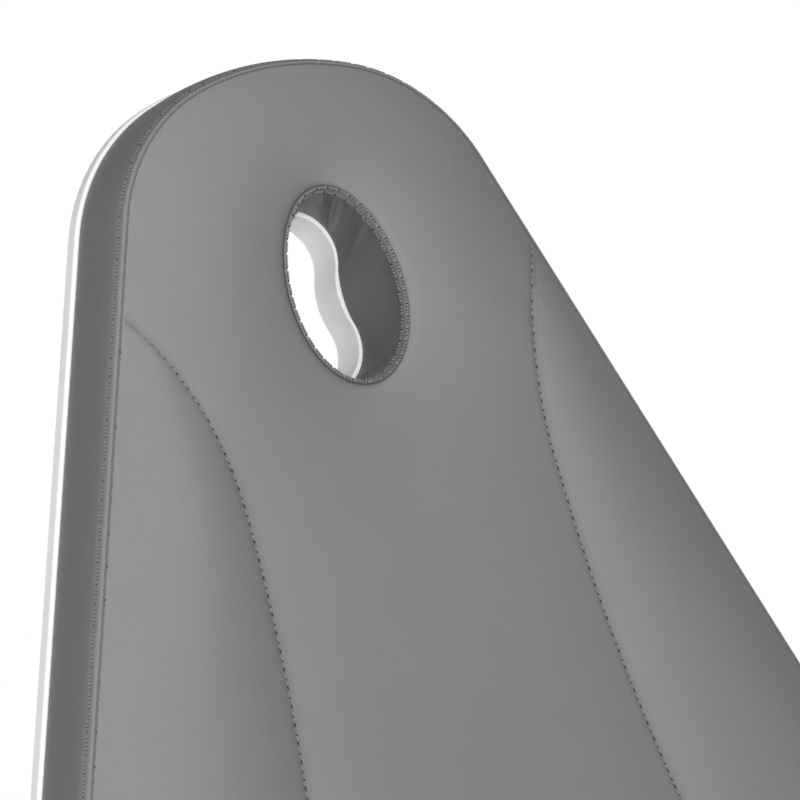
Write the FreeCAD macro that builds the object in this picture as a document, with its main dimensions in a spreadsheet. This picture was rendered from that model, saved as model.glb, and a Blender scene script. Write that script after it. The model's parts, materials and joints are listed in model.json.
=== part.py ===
import FreeCAD
import Part
import Sketcher
import math
import os
from types import SimpleNamespace

# Electric spa bed on a cabinet base, in millimetres.
# Z is up, Y runs along the bed with the head end at +Y, and X runs across it.
# The origin is on the floor, half way between the foot end and the head end as
# the bed stands here: lift down, leg section level, backrest raised.
# Pieces that tilt are drawn level and then turned about their own pivot.

# Driving dimensions. Angles are in degrees, all else in millimetres.
SIZES = {
    # Upholstered sections
    "bed_width": 762.0,
    "seat_length": 480.0,
    "leg_length": 600.0,
    "back_length": 810.0,
    "seat_height": 650.0,
    "back_angle": 63.1,
    "leg_angle_low": 45.0,
    "board_depth": 15.0,
    "board_gap": 8.0,
    "board_edge_round": 3.0,
    "corner_round": 70.0,
    "head_edge_inset": 115.6,
    "head_round_angle": 16.4,
    "head_side_round": 160.0,
    "shoulder_round": 300.0,
    "shoulder_reach": 113.0,
    "foot_round": 140.0,
    "foot_taper_angle": 4.0,
    # How far a cutting tool reaches past what it cuts
    "overrun": 85.0,
    # Cushions
    "cushion_depth": 85.0,
    "cushion_inset": 3.0,
    "seam_inset": 12.0,
    "crown_rise": 19.0,
    "crown_width": 52.0,
    "channel_depth": 5.0,
    "channel_radius": 7.0,
    "channel_waist": 146.0,
    "channel_waist_reach": 451.0,
    "channel_round": 1541.0,
    "channel_top_round": 290.0,
    "channel_top_reach": 624.0,
    # Face opening
    "face_reach": 615.0,
    "face_width": 104.0,
    "face_length": 157.0,
    "face_lobe_round": 36.0,
    "face_lobe_reach": 36.0,
    "face_waist_round": 60.0,
    "collar_wall": 6.0,
    "collar_height": 19.0,
    "collar_edge_round": 1.5,
    # Hinges
    "back_pivot_drop": 28.0,
    "leg_pivot_drop": 20.0,
    "ear_thickness": 6.0,
    "ear_round": 16.0,
    "ear_half_width": 14.0,
    "ear_inset": 6.0,
    "pin_radius": 6.0,
    "pin_head_radius": 9.0,
    "pin_head_depth": 3.0,
    "side_play": 1.0,
    "bore_play": 0.05,
    "leg_lug_round": 19.0,
    # Steel frames
    "rail_height": 40.0,
    "rail_width": 30.0,
    "rail_wall": 2.0,
    "rail_edge_inset": 151.0,
    "rail_set_back": 24.0,
    "outrigger_set_back": 30.0,
    "cross_spacing": 300.0,
    "bridge_depth": 18.0,
    "back_rail_height": 30.0,
    "back_rail_spacing": 300.0,
    "back_rail_start": 40.0,
    "back_rail_end": 500.0,
    "leg_cross_start": 40.0,
    "leg_rail_end": 520.0,
    # Lift columns
    "column_spacing": 240.0,
    "column_width": 110.0,
    "column_length": 130.0,
    "column_wall": 3.0,
    "column_round": 10.0,
    "column_play": 0.5,
    "column_stagger": 12.0,
    "column_collar": 8.0,
    "middle_top_drop": 35.0,
    "flange_depth": 8.0,
    "flange_width": 124.0,
    "flange_length": 150.0,
    "head_plate_width": 180.0,
    "screw_radius": 10.0,
    "drive_radius": 30.0,
    "drive_height": 120.0,
    "screw_top_drop": 45.0,
    # Actuators and their levers
    "actuator_offset": 130.0,
    "actuator_drop": 195.0,
    "back_lever_reach": 51.0,
    "back_lever_drop": 141.0,
    "leg_lever_reach": 66.0,
    "leg_lever_drop": 46.0,
    "lever_thickness": 6.0,
    "lever_gap": 26.0,
    "eye_radius": 13.0,
    "eye_thickness": 14.0,
    "eye_pin_radius": 5.0,
    "eye_pin_length": 24.0,
    "housing_length": 80.0,
    "housing_width": 50.0,
    "housing_height": 50.0,
    "housing_neck": 20.0,
    "motor_radius": 22.0,
    "motor_offset": 45.0,
    "motor_length": 110.0,
    "motor_cap_length": 12.0,
    "motor_cap_round": 4.0,
    "stroke_tube_radius": 15.0,
    "stroke_rod_radius": 11.0,
    "stroke_rod_length": 242.0,
    "stroke_rod_play": 0.4,
    "stroke_tube_drop": 28.0,
    "stroke_cap_wall": 2.0,
    "stroke_cap_length": 14.0,
    # Cabinet
    "cabinet_width": 480.0,
    "cabinet_foot_reach": 300.0,
    "cabinet_head_reach": 600.0,
    "cabinet_top_drop": 230.0,
    "panel": 18.0,
    "thin_panel": 12.0,
    "plinth_height": 65.0,
    "plinth_inset": 50.0,
    "plinth_block": 50.0,
    "foot_height": 15.0,
    "foot_radius": 25.0,
    "foot_stem_radius": 6.0,
    "foot_stem_length": 40.0,
    "lift_bay_reach": 200.0,
    "lining_offset": 82.0,
    "shelf_height": 240.0,
    "shelf_set_back": 4.0,
    "cutout_play": 1.5,
    # Fronts
    "front_gap": 3.0,
    "front_stand_off": 2.0,
    "front_edge_round": 2.0,
    "pull_length": 128.0,
    "pull_reach": 28.0,
    "pull_radius": 5.0,
    "pull_bend": 12.0,
    "pull_inset": 38.0,
    # Drawers
    "drawer_depth": 420.0,
    "drawer_wall": 12.0,
    "drawer_floor": 8.0,
    "drawer_headroom": 26.0,
    "drawer_lift": 26.0,
    "runner_space": 13.0,
    "runner_height": 36.0,
    "runner_play": 0.5,
    # Door hinges
    "hinge_height": 60.0,
    "hinge_leaf": 1.5,
    "hinge_leaf_width": 22.0,
    "hinge_knuckle_radius": 4.0,
    "hinge_pin_knuckle_radius": 2.8,
    "hinge_pin_radius": 1.5,
    "hinge_edge_distance": 45.0,
    # Electrical pieces
    "control_width": 130.0,
    "control_length": 200.0,
    "control_height": 80.0,
    "control_round": 8.0,
    "control_lid_depth": 14.0,
    "control_lid_step": 1.5,
    "inlet_width": 28.0,
    "inlet_height": 22.0,
    "inlet_depth": 24.0,
    "inlet_flange": 6.0,
    "inlet_flange_depth": 2.5,
    "inlet_play": 0.3,
    "inlet_socket_wall": 2.5,
    "inlet_socket_depth": 16.0,
    "inlet_offset": 205.0,
    "inlet_level": 60.0,
    "switch_width": 40.0,
    "switch_length": 124.0,
    "switch_height": 28.0,
    "switch_edge_inset": 16.0,
    "switch_pitch": 38.0,
    "rocker_length": 26.0,
    "rocker_height": 18.0,
    "rocker_depth": 11.0,
    "rocker_stand": 3.0,
    "rocker_play": 0.5,
    "rocker_pocket": 12.0,
    "rocker_tip_play": 1.5,
    "rocker_barrel_radius": 3.5,
    "rocker_dish_round": 45.0,
    "rocker_dish": 0.9,
}

# How the upholstery curves from the board up to its flat middle, as shares of
# the side wall's height and inset, and of the crown's width and rise.
WALL_LEVEL_SHARES = (0.0, 0.5, 0.82, 1.0)
WALL_INSET_SHARES = (0.0, 0.12, 0.5, 1.0)
CROWN_INSET_SHARES = (0.18, 0.45, 0.74, 1.0)
CROWN_RISE_SHARES = (0.45, 0.76, 0.93, 1.0)
# How near two ends of an outline count as one point, as a share of the overrun.
CLOSE_SHARE = 0.001


class Size:
    """A length with the expression that gives it from the sheet's cells."""

    def __init__(self, text, value):
        self.text = text
        self.value = float(value)

    def __add__(self, other):
        other = as_size(other)
        return Size(f"({self.text} + {other.text})", self.value + other.value)

    def __radd__(self, other):
        return as_size(other) + self

    def __sub__(self, other):
        other = as_size(other)
        return Size(f"({self.text} - {other.text})", self.value - other.value)

    def __rsub__(self, other):
        return as_size(other) - self

    def __mul__(self, factor):
        return Size(f"({self.text} * {factor})", self.value * factor)

    __rmul__ = __mul__

    def __truediv__(self, divisor):
        return Size(f"({self.text} / {divisor})", self.value / divisor)

    def __neg__(self):
        return Size(f"(-1 * {self.text})", -self.value)


def as_size(amount):
    if isinstance(amount, Size):
        return amount
    return Size(repr(float(amount)), amount)


document = FreeCAD.newDocument("SpaBed")
sheet = document.addObject("Spreadsheet::Sheet", "Sizes")
for row, (alias, amount) in enumerate(SIZES.items(), start=1):
    sheet.set(f"A{row}", str(amount))
    sheet.setAlias(f"A{row}", alias)
document.recompute()
S = SimpleNamespace(**{alias: Size(f"Sizes.{alias}", sheet.get(alias)) for alias in SIZES})

ZERO = as_size(0)
X_AXIS = FreeCAD.Vector(1, 0, 0)
Y_AXIS = FreeCAD.Vector(0, 1, 0)
Z_AXIS = FreeCAD.Vector(0, 0, 1)
UPRIGHT = FreeCAD.Rotation()
ALONG_X = FreeCAD.Rotation(Y_AXIS, 90)
ALONG_Y = FreeCAD.Rotation(X_AXIS, -90)
OVERRUN = S.overrun
nodes = []


def bind(thing, path, size):
    """Give one property its size by an expression on the sheet."""
    thing.setExpression(path, as_size(size).text)


def place(thing, x, y, z):
    bind(thing, "Placement.Base.x", x)
    bind(thing, "Placement.Base.y", y)
    bind(thing, "Placement.Base.z", z)


def box(x, y, z):
    """A Part box between the low and high values of each pair."""
    thing = document.addObject("Part::Box", "Box")
    for path, (low, high) in zip(("Length", "Width", "Height"), (x, y, z)):
        bind(thing, path, high - low)
    place(thing, x[0], y[0], z[0])
    return thing


def rod(turn, start, radius, length):
    """A Part cylinder from a start point, upright, along X or along Y."""
    thing = document.addObject("Part::Cylinder", "Rod")
    thing.Placement.Rotation = turn
    bind(thing, "Radius", radius)
    bind(thing, "Height", length)
    place(thing, *start)
    return thing


def join(*things):
    thing = document.addObject("Part::MultiFuse", "Join")
    thing.Shapes = list(things)
    thing.Refine = True
    return thing


def cut(base, *tools):
    thing = document.addObject("Part::Cut", "Cut")
    thing.Base = base
    thing.Tool = tools[0] if len(tools) == 1 else join(*tools)
    thing.Refine = True
    return thing


def soften(base, radius, chosen):
    """Round the edges of a Part object that the test chooses."""
    document.recompute()
    thing = document.addObject("Part::Fillet", "Soften")
    thing.Base = base
    edges = [n for n, edge in enumerate(base.Shape.Edges, start=1) if chosen(edge)]
    thing.Edges = [(n, radius.value, radius.value) for n in edges]
    return thing


def node(name, thing):
    """Name a finished piece, which becomes parts/NAME.step."""
    thing.Label = name
    nodes.append(thing)
    return thing


def feature(name, shape):
    thing = document.addObject("Part::Feature", "Form")
    thing.Shape = shape
    return node(name, thing)


def group(name, *things):
    """Separate solids that share one node."""
    thing = document.addObject("Part::Compound", "Group")
    thing.Links = list(things)
    return node(name, thing)


def turn_about(thing, pivot, angle):
    """Turn a level piece about a pivot line along X."""
    centre = FreeCAD.Vector(0, pivot[0].value, pivot[1].value)
    thing.Placement = FreeCAD.Placement(FreeCAD.Vector(), FreeCAD.Rotation(X_AXIS, angle), centre)
    return thing


def is_along(edge, axis):
    """True for a straight edge along an axis."""
    if edge.Curve.TypeId != "Part::GeomLine":
        return False
    return abs(edge.Curve.Direction.dot(axis)) > math.cos(math.radians(1))


# Sketched bodies

def sketch(body, plane, offset):
    """A sketch on one of the body's own origin planes, moved along its normal."""
    thing = body.newObject("Sketcher::SketchObject", "Sketch")
    found = [part for part in body.Origin.OriginFeatures if part.Role == plane]
    thing.AttachmentSupport = [(found[0], "")]
    thing.MapMode = "FlatFace"
    bind(thing, "AttachmentOffset.Base.z", offset)
    return thing


def rectangle(drawing, across, up):
    """A rectangle whose four sides are dimensioned from the sketch's origin."""
    corners = [(across[0], up[0]), (across[1], up[0]), (across[1], up[1]), (across[0], up[1])]
    points = [FreeCAD.Vector(a.value, b.value, 0) for a, b in corners]
    first = drawing.GeometryCount
    for n in range(4):
        drawing.addGeometry(Part.LineSegment(points[n], points[(n + 1) % 4]), False)
    for n in range(4):
        follower = first + (n + 1) % 4
        drawing.addConstraint(Sketcher.Constraint("Coincident", first + n, 2, follower, 1))
        direction = "Horizontal" if n % 2 == 0 else "Vertical"
        drawing.addConstraint(Sketcher.Constraint(direction, first + n))
    for corner, (a, b) in ((0, corners[0]), (2, corners[2])):
        for direction, size in (("DistanceX", a), ("DistanceY", b)):
            rule = Sketcher.Constraint(direction, -1, 1, first + corner, 1, size.value)
            number = drawing.addConstraint(rule)
            bind(drawing, f"Constraints[{number}]", size)


def pad(body, drawing, depth):
    thing = body.newObject("PartDesign::Pad", "Pad")
    thing.Profile = drawing
    bind(thing, "Length", depth)
    drawing.Visibility = False
    return thing


def pocket(body, drawing, depth=None):
    """Cut against the sketch's normal, right through unless a depth is given."""
    thing = body.newObject("PartDesign::Pocket", "Pocket")
    thing.Profile = drawing
    if depth is None:
        thing.Type = "ThroughAll"
    else:
        bind(thing, "Length", depth)
    drawing.Visibility = False
    return thing


def round_edges(body, radius, chosen):
    document.recompute()
    before = body.Tip
    names = [f"Edge{n}" for n, edge in enumerate(before.Shape.Edges, start=1) if chosen(edge)]
    thing = body.newObject("PartDesign::Fillet", "Round")
    thing.Base = (before, names)
    bind(thing, "Radius", radius)
    return thing


def new_body():
    return document.addObject("PartDesign::Body", "Body")


# Shared places

half_width = S.bed_width / 2
head_round = half_width - S.head_edge_inset
board_top = S.seat_height - S.cushion_depth
board_under = board_top - S.board_depth
back_radians = math.radians(S.back_angle.value)
back_rise = Size("sin(Sizes.back_angle * 1 deg)", math.sin(back_radians))
back_run = Size("cos(Sizes.back_angle * 1 deg)", math.cos(back_radians))


def times(first, second):
    return Size(f"({first.text} * {second.text})", first.value * second.value)


back_board_drop = S.cushion_depth + S.board_depth - S.back_pivot_drop
foot_reach = S.seat_length / 2 + S.board_gap + S.leg_length
head_reach = (S.seat_length / 2 + S.board_gap + times(S.back_length, back_run)
              + times(back_board_drop, back_rise))
seat_y = (foot_reach - head_reach) / 2
seat_front = seat_y - S.seat_length / 2
seat_rear = seat_y + S.seat_length / 2
back_pivot = (seat_rear + S.board_gap, S.seat_height - S.back_pivot_drop)
leg_pivot = (seat_front - S.board_gap / 2, board_under - S.leg_pivot_drop)
leg_end = seat_front - S.board_gap

carcass_low = S.foot_height + S.plinth_height
carcass_floor = carcass_low + S.panel
carcass_top = S.seat_height - S.cabinet_top_drop
carcass_side = S.cabinet_width / 2
carcass_foot = seat_y - S.cabinet_foot_reach
carcass_head = seat_y + S.cabinet_head_reach
divider_foot_face = seat_y + S.lift_bay_reach
divider_head_face = divider_foot_face + S.panel

rail_low = board_under - S.rail_height
plate_low = rail_low - S.flange_depth


# Outlines of the upholstered sections

def outline_arcs_of_back():
    """The arcs of the backrest's right half, as centre, radius and two angles."""
    corner = S.corner_round.value
    half = half_width.value
    crest = math.radians(90 - S.head_round_angle.value)
    top_centre = S.back_length.value - head_round.value
    side = S.head_side_round.value
    side_x = (head_round.value - side) * math.cos(crest)
    side_y = top_centre + (head_round.value - side) * math.sin(crest)
    shoulder = S.shoulder_round.value
    shoulder_x = half - shoulder
    shoulder_y = S.shoulder_reach.value
    rise, lean = side_y - shoulder_y, side_x - shoulder_x
    flare = math.atan2(rise, lean) - math.acos((shoulder - side) / math.hypot(rise, lean))
    return [
        (half - corner, corner, corner, -math.pi / 2, 0),
        (shoulder_x, shoulder_y, shoulder, 0, flare),
        (side_x, side_y, side, flare, crest),
        (0, top_centre, head_round.value, crest, math.pi - crest),
    ]


def outline_arcs_of_seat():
    corner = S.corner_round.value
    half = half_width.value
    return [
        (half - corner, corner, corner, -math.pi / 2, 0),
        (half - corner, S.seat_length.value - corner, corner, 0, math.pi / 2),
    ]


def outline_arcs_of_leg():
    corner = S.corner_round.value
    half = half_width.value
    foot = S.foot_round.value
    taper = math.radians(S.foot_taper_angle.value)
    reach = (half - corner) * math.cos(taper) + corner * math.sin(taper) + corner
    foot_y = S.leg_length.value - foot
    foot_x = (reach - foot - foot_y * math.sin(taper)) / math.cos(taper)
    return [
        (half - corner, corner, corner, -math.pi / 2, taper),
        (foot_x, foot_y, foot, taper, math.pi / 2),
    ]


def both_sides(arcs):
    """Add the left half: the mirror image of every arc that isn't in the middle."""
    left = []
    for x, y, radius, start, end in reversed(arcs):
        if x != 0:
            left.append((-x, y, radius, math.pi - end, math.pi - start))
    return arcs + left


def outline_curves(arcs, inset, start_y, along, level):
    """Lines and arcs round a section, drawn in from its board's edge by an inset."""
    def point(x, y, radius, angle):
        reach = radius - inset
        return FreeCAD.Vector(x + reach * math.cos(angle),
                              start_y + along * (y + reach * math.sin(angle)), level)
    curves = []
    rounds = both_sides(arcs)
    for n, (x, y, radius, start, end) in enumerate(rounds):
        first = point(x, y, radius, start)
        last = point(x, y, radius, end)
        curves.append(Part.Arc(first, point(x, y, radius, (start + end) / 2), last))
        following = rounds[(n + 1) % len(rounds)]
        after = point(*following[:4])
        if last.distanceToPoint(after) > OVERRUN.value * CLOSE_SHARE:
            curves.append(Part.LineSegment(last, after))
    return curves


def outline_wire(arcs, inset, start_y, along, level):
    curves = outline_curves(arcs, inset, start_y, along, level)
    return Part.Wire([curve.toShape() for curve in curves])


def cushion_form(arcs, start_y, along):
    """The upholstery's body: side walls that draw in to the seam, then the crown."""
    depth = S.cushion_depth.value
    rise = S.crown_rise.value
    wall = depth - rise
    first_inset = S.cushion_inset.value
    wall_inset = S.seam_inset.value - first_inset
    bottom = board_top.value
    wires = []
    for level_share, inset_share in zip(WALL_LEVEL_SHARES, WALL_INSET_SHARES):
        inset = first_inset + wall_inset * inset_share
        wires.append(outline_wire(arcs, inset, start_y, along, bottom + wall * level_share))
    for rise_share, inset_share in zip(CROWN_RISE_SHARES, CROWN_INSET_SHARES):
        inset = S.seam_inset.value + S.crown_width.value * inset_share
        level = bottom + wall + rise * rise_share
        wires.append(outline_wire(arcs, inset, start_y, along, level))
    return Part.makeLoft(wires, True, True)


def channel(centre_x, centre_y, radius, start, end):
    """A sewn channel along an arc on the top face, in plan, between two angles."""
    level = S.seat_height.value + S.channel_radius.value - S.channel_depth.value
    ring = Part.makeTorus(radius, S.channel_radius.value, FreeCAD.Vector(), Z_AXIS,
                          0, 360, end - start)
    ring.rotate(FreeCAD.Vector(), Z_AXIS, start)
    ring.translate(FreeCAD.Vector(centre_x, centre_y, level))
    return ring


def both_channels(centre_x, centre_y, radius, start, end):
    right = channel(centre_x, centre_y, radius, start, end)
    return [right, right.mirror(FreeCAD.Vector(), X_AXIS)]


def swept_angle(reach, radius):
    return math.degrees(math.asin(reach / radius))


def board(name, arcs, start_y, along, opening=None):
    """A painted board with rounded edges, padded from its sketched outline."""
    body = new_body()
    drawing = sketch(body, "XY_Plane", board_under)
    curves = outline_curves(arcs, 0, start_y.value, along, 0)
    drawing.addGeometry(curves, False)
    pad(body, drawing, S.board_depth)
    rim_levels = (board_under.value, board_top.value)

    def on_rim(edge):
        return any(abs(edge.BoundBox.ZMin - z) + abs(edge.BoundBox.ZMax - z) < 1 for z in rim_levels)
    round_edges(body, S.board_edge_round, on_rim)
    if opening is not None:
        hole = sketch(body, "XY_Plane", board_top)
        hole.addGeometry(opening, False)
        pocket(body, hole)
    return node(name, body)


def face_hole_curves(centre_y, wall=0):
    """The board's opening, or a line round it: two round lobes with a waist between them."""
    lobe = S.face_lobe_round.value + wall
    reach = S.face_lobe_reach.value
    waist = S.face_waist_round.value - wall
    waist_x = math.sqrt((lobe + waist) ** 2 - reach ** 2)
    lean = math.atan2(reach, waist_x)

    def on_lobe(side, angle):
        return FreeCAD.Vector(lobe * math.cos(angle), centre_y + side * (reach + lobe * math.sin(angle)), 0)
    curves = []
    for side in (1, -1):
        ends = on_lobe(side, -lean), on_lobe(side, math.pi + lean)
        curves.append(Part.Arc(ends[0], on_lobe(side, math.pi / 2), ends[1]))
    for side in (1, -1):
        ends = [FreeCAD.Vector(side * lobe * math.cos(lean),
                               centre_y + tip * (reach - lobe * math.sin(lean)), 0) for tip in (1, -1)]
        middle = FreeCAD.Vector(side * (waist_x - waist), centre_y, 0)
        curves.append(Part.Arc(ends[0], middle, ends[1]))
    return curves


def face_collar(centre_y):
    """The upright collar that keeps the padding out of the board's opening."""
    body = new_body()
    drawing = sketch(body, "XY_Plane", board_top)
    drawing.addGeometry(face_hole_curves(centre_y, S.collar_wall.value), False)
    drawing.addGeometry(face_hole_curves(centre_y), False)
    pad(body, drawing, S.collar_height)
    top = board_top.value + S.collar_height.value

    def on_top(edge):
        return edge.BoundBox.ZMin > top - S.collar_edge_round.value
    round_edges(body, S.collar_edge_round, on_top)
    return node("face_collar", body)


def collar_space(centre_y):
    """The room that the collar takes in the padding."""
    curves = face_hole_curves(centre_y, S.collar_wall.value)
    outline = Part.Wire(Part.__sortEdges__([curve.toShape() for curve in curves]))
    outline.translate(FreeCAD.Vector(0, 0, board_top.value))
    return Part.Face(outline).extrude(FreeCAD.Vector(0, 0, S.collar_height.value))


def tube(x, y, z, axis):
    """A rectangular steel tube, open at the two ends of its axis."""
    inside = []
    for n, (low, high) in enumerate((x, y, z)):
        wall = -OVERRUN if n == axis else S.rail_wall
        inside.append((low + wall, high - wall))
    return cut(box(x, y, z), box(*inside))


def across(centre, width):
    return (centre - width / 2, centre + width / 2)


def on_side(side, span):
    """A span across the bed, on its right side or mirrored to its left."""
    return span if side > 0 else (-span[1], -span[0])


def ahead(way, start, low, high):
    """A span along the bed, measured from a start towards the head or the foot."""
    return (start + low, start + high) if way > 0 else (start - high, start - low)


def pin(x, pivot, radius, head_radius):
    """A headed pin across the bed; x is the span between the heads."""
    y, z = pivot
    depth = S.pin_head_depth
    shank = rod(ALONG_X, (x[0], y, z), radius, x[1] - x[0])
    low_head = rod(ALONG_X, (x[0] - depth, y, z), head_radius, depth)
    high_head = rod(ALONG_X, (x[1], y, z), head_radius, depth)
    return join(shank, low_head, high_head)


# Cabinet carcass

cabinet_x = (-carcass_side, carcass_side)
cabinet_y = (carcass_foot, carcass_head)
inside_z = (carcass_floor, carcass_top - S.panel)
lift_bay_y = (carcass_foot + S.panel, divider_foot_face)
drawer_bay_y = (divider_head_face, carcass_head - S.panel)
column_places = {"foot": seat_y - S.column_spacing / 2, "head": seat_y + S.column_spacing / 2}


def plain_panel(name, x, y, z):
    """A cabinet panel, sketched on its widest face and padded to its thickness."""
    body = new_body()
    thickness = [high.value - low.value for low, high in (x, y, z)]
    thin = thickness.index(min(thickness))
    plane = ("YZ_Plane", "XZ_Plane", "XY_Plane")[thin]
    offset = (x[0], -y[1], z[0])[thin]
    drawing = sketch(body, plane, offset)
    spans = [span for n, span in enumerate((x, y, z)) if n != thin]
    rectangle(drawing, *spans)
    low, high = (x, y, z)[thin]
    pad(body, drawing, high - low)
    return node(name, body)


def cabinet_top():
    """The top panel, with a cut-out for each lift column."""
    body = new_body()
    drawing = sketch(body, "XY_Plane", carcass_top - S.panel)
    rectangle(drawing, cabinet_x, cabinet_y)
    pad(body, drawing, S.panel)
    holes = sketch(body, "XY_Plane", carcass_top)
    for place_y in column_places.values():
        room = 2 * S.cutout_play
        rectangle(holes, across(ZERO, S.column_width + room), across(place_y, S.column_length + room))
    pocket(body, holes)
    return node("cabinet_top", body)


def plinth_and_feet():
    """The set-back plinth frame, its corner blocks and the levelling feet in them."""
    x = (S.plinth_inset - carcass_side, carcass_side - S.plinth_inset)
    y = (carcass_foot + S.plinth_inset, carcass_head - S.plinth_inset)
    z = (S.foot_height, carcass_low)
    inner_x = (x[0] + S.panel, x[1] - S.panel)
    inner_y = (y[0] + S.panel, y[1] - S.panel)
    ring = cut(box(x, y, z), box(inner_x, inner_y, (z[0] - OVERRUN, z[1] + OVERRUN)))
    blocks = []
    bores = []
    feet = []
    for side in (1, -1):
        for way, end in ((1, inner_y[0]), (-1, inner_y[1])):
            block_x = on_side(side, (inner_x[1] - S.plinth_block, inner_x[1]))
            block_y = ahead(way, end, ZERO, S.plinth_block)
            blocks.append(box(block_x, block_y, z))
            centre = (sum(block_x, ZERO) / 2, sum(block_y, ZERO) / 2)
            bore_length = S.foot_height + S.foot_stem_length + S.side_play
            bores.append(rod(UPRIGHT, (*centre, ZERO), S.foot_stem_radius + S.bore_play, bore_length))
            feet.append(levelling_foot(*centre))
    node("plinth", cut(join(ring, *blocks), *bores))
    group("levelling_feet", *feet)


def levelling_foot(x, y):
    base_depth = S.foot_height / 2
    base = rod(UPRIGHT, (x, y, ZERO), S.foot_radius, base_depth)
    shoulder = document.addObject("Part::Cone", "Cone")
    bind(shoulder, "Radius1", S.foot_radius)
    bind(shoulder, "Radius2", S.foot_stem_radius * 2)
    bind(shoulder, "Height", S.foot_height - base_depth)
    place(shoulder, x, y, base_depth)
    stem = rod(UPRIGHT, (x, y, ZERO), S.foot_stem_radius, S.foot_height + S.foot_stem_length)
    return join(base, shoulder, stem)


plinth_and_feet()
plain_panel("cabinet_floor", cabinet_x, cabinet_y, (carcass_low, carcass_floor))
cabinet_top()
plain_panel("end_panel_foot", cabinet_x, (carcass_foot, carcass_foot + S.panel), inside_z)
plain_panel("divider", cabinet_x, (divider_foot_face, divider_head_face), inside_z)
plain_panel("side_panel_right", (carcass_side, carcass_side + S.panel), cabinet_y,
            (carcass_low, carcass_top))
lining_x = (-S.lining_offset, S.thin_panel - S.lining_offset)
plain_panel("cupboard_back", lining_x, lift_bay_y, inside_z)
plain_panel("cupboard_shelf", (S.shelf_set_back - carcass_side, lining_x[0]), lift_bay_y,
            (S.shelf_height, S.shelf_height + S.thin_panel))


def head_end_and_inlet():
    """The head-end panel and the mains inlet let into it."""
    level = carcass_low + S.inlet_level
    x = across(S.inlet_offset, S.inlet_width)
    z = across(level, S.inlet_height)
    play = S.inlet_play
    body = new_body()
    drawing = sketch(body, "XZ_Plane", -carcass_head)
    rectangle(drawing, cabinet_x, inside_z)
    rectangle(drawing, (x[0] - play, x[1] + play), (z[0] - play, z[1] + play))
    pad(body, drawing, S.panel)
    node("end_panel_head", body)
    flange = S.inlet_flange
    face = carcass_head + S.inlet_flange_depth
    shell = box(x, (carcass_head - S.inlet_depth, face), z)
    plate = box((x[0] - flange, x[1] + flange), (carcass_head, face), (z[0] - flange, z[1] + flange))
    wall = S.inlet_socket_wall
    socket = box((x[0] + wall, x[1] - wall), (face - S.inlet_socket_depth, face + OVERRUN),
                 (z[0] + wall, z[1] - wall))
    node("mains_inlet", cut(join(shell, plate), socket))


head_end_and_inlet()


def control_box():
    """The control unit's case under its lid, standing on the carcass floor."""
    x = across(S.cabinet_width / 3, S.control_width)
    y = across(seat_y, S.control_length)
    top = carcass_floor + S.control_height
    split = top - S.control_lid_depth
    step = S.control_lid_step
    case_x = (x[0] + step, x[1] - step)
    case_y = (y[0] + step, y[1] - step)

    def is_upright(edge):
        return is_along(edge, Z_AXIS)
    case = soften(box(case_x, case_y, (carcass_floor, split)), S.control_round, is_upright)
    lid = soften(box(x, y, (split, top)), S.control_round, is_upright)
    node("control_box", join(case, lid))


control_box()


# Lift columns: a fixed outer stage, a middle stage and an inner stage

stage_step = S.column_wall + S.column_play


def stage_tube(body, stage, y, z, solid_part=None):
    """One rectangular stage, drawn in by a wall and a gap for each stage outside it."""
    width = S.column_width - 2 * stage * stage_step
    length = S.column_length - 2 * stage * stage_step
    outside = (across(ZERO, width), across(y, length))
    inside = (across(ZERO, width - 2 * S.column_wall), across(y, length - 2 * S.column_wall))
    drawing = sketch(body, "XY_Plane", z[0])
    rectangle(drawing, *outside)
    rectangle(drawing, *inside)
    pad(body, drawing, z[1] - z[0])
    reach = width.value / 2 - S.column_wall.value / 2

    def is_outer_corner(edge):
        box_of_edge = edge.BoundBox
        tall = box_of_edge.ZLength > S.panel.value
        near = abs(abs(box_of_edge.Center.y - y.value) - length.value / 2) < S.column_wall.value / 2
        return is_along(edge, Z_AXIS) and tall and near and abs(box_of_edge.Center.x) > reach
    round_edges(body, S.column_round, is_outer_corner)


def plate_on(body, x, y, z):
    drawing = sketch(body, "XY_Plane", z[0])
    rectangle(drawing, x, y)
    pad(body, drawing, z[1] - z[0])


flange_top = carcass_floor + S.flange_depth
drives = []
for place_name, column_y in column_places.items():
    outer = new_body()
    stage_tube(outer, 0, column_y, (flange_top, carcass_top + S.column_collar))
    plate_on(outer, across(ZERO, S.flange_width), across(column_y, S.flange_length),
             (carcass_floor, flange_top))
    node(f"column_outer_{place_name}", outer)
    middle = new_body()
    stage_tube(middle, 1, column_y, (flange_top + S.column_stagger, rail_low - S.middle_top_drop))
    node(f"column_middle_{place_name}", middle)
    inner = new_body()
    stage_tube(inner, 2, column_y, (flange_top + 2 * S.column_stagger, plate_low))
    plate_on(inner, across(ZERO, S.head_plate_width), across(column_y, S.column_length),
             (plate_low, rail_low))
    node(f"column_inner_{place_name}", inner)
    motor = rod(UPRIGHT, (ZERO, column_y, flange_top), S.drive_radius, S.drive_height)
    screw = rod(UPRIGHT, (ZERO, column_y, flange_top), S.screw_radius,
                rail_low - S.screw_top_drop - flange_top)
    drives.append(join(motor, screw))
group("lift_drives", *drives)


# Seat frame

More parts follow.
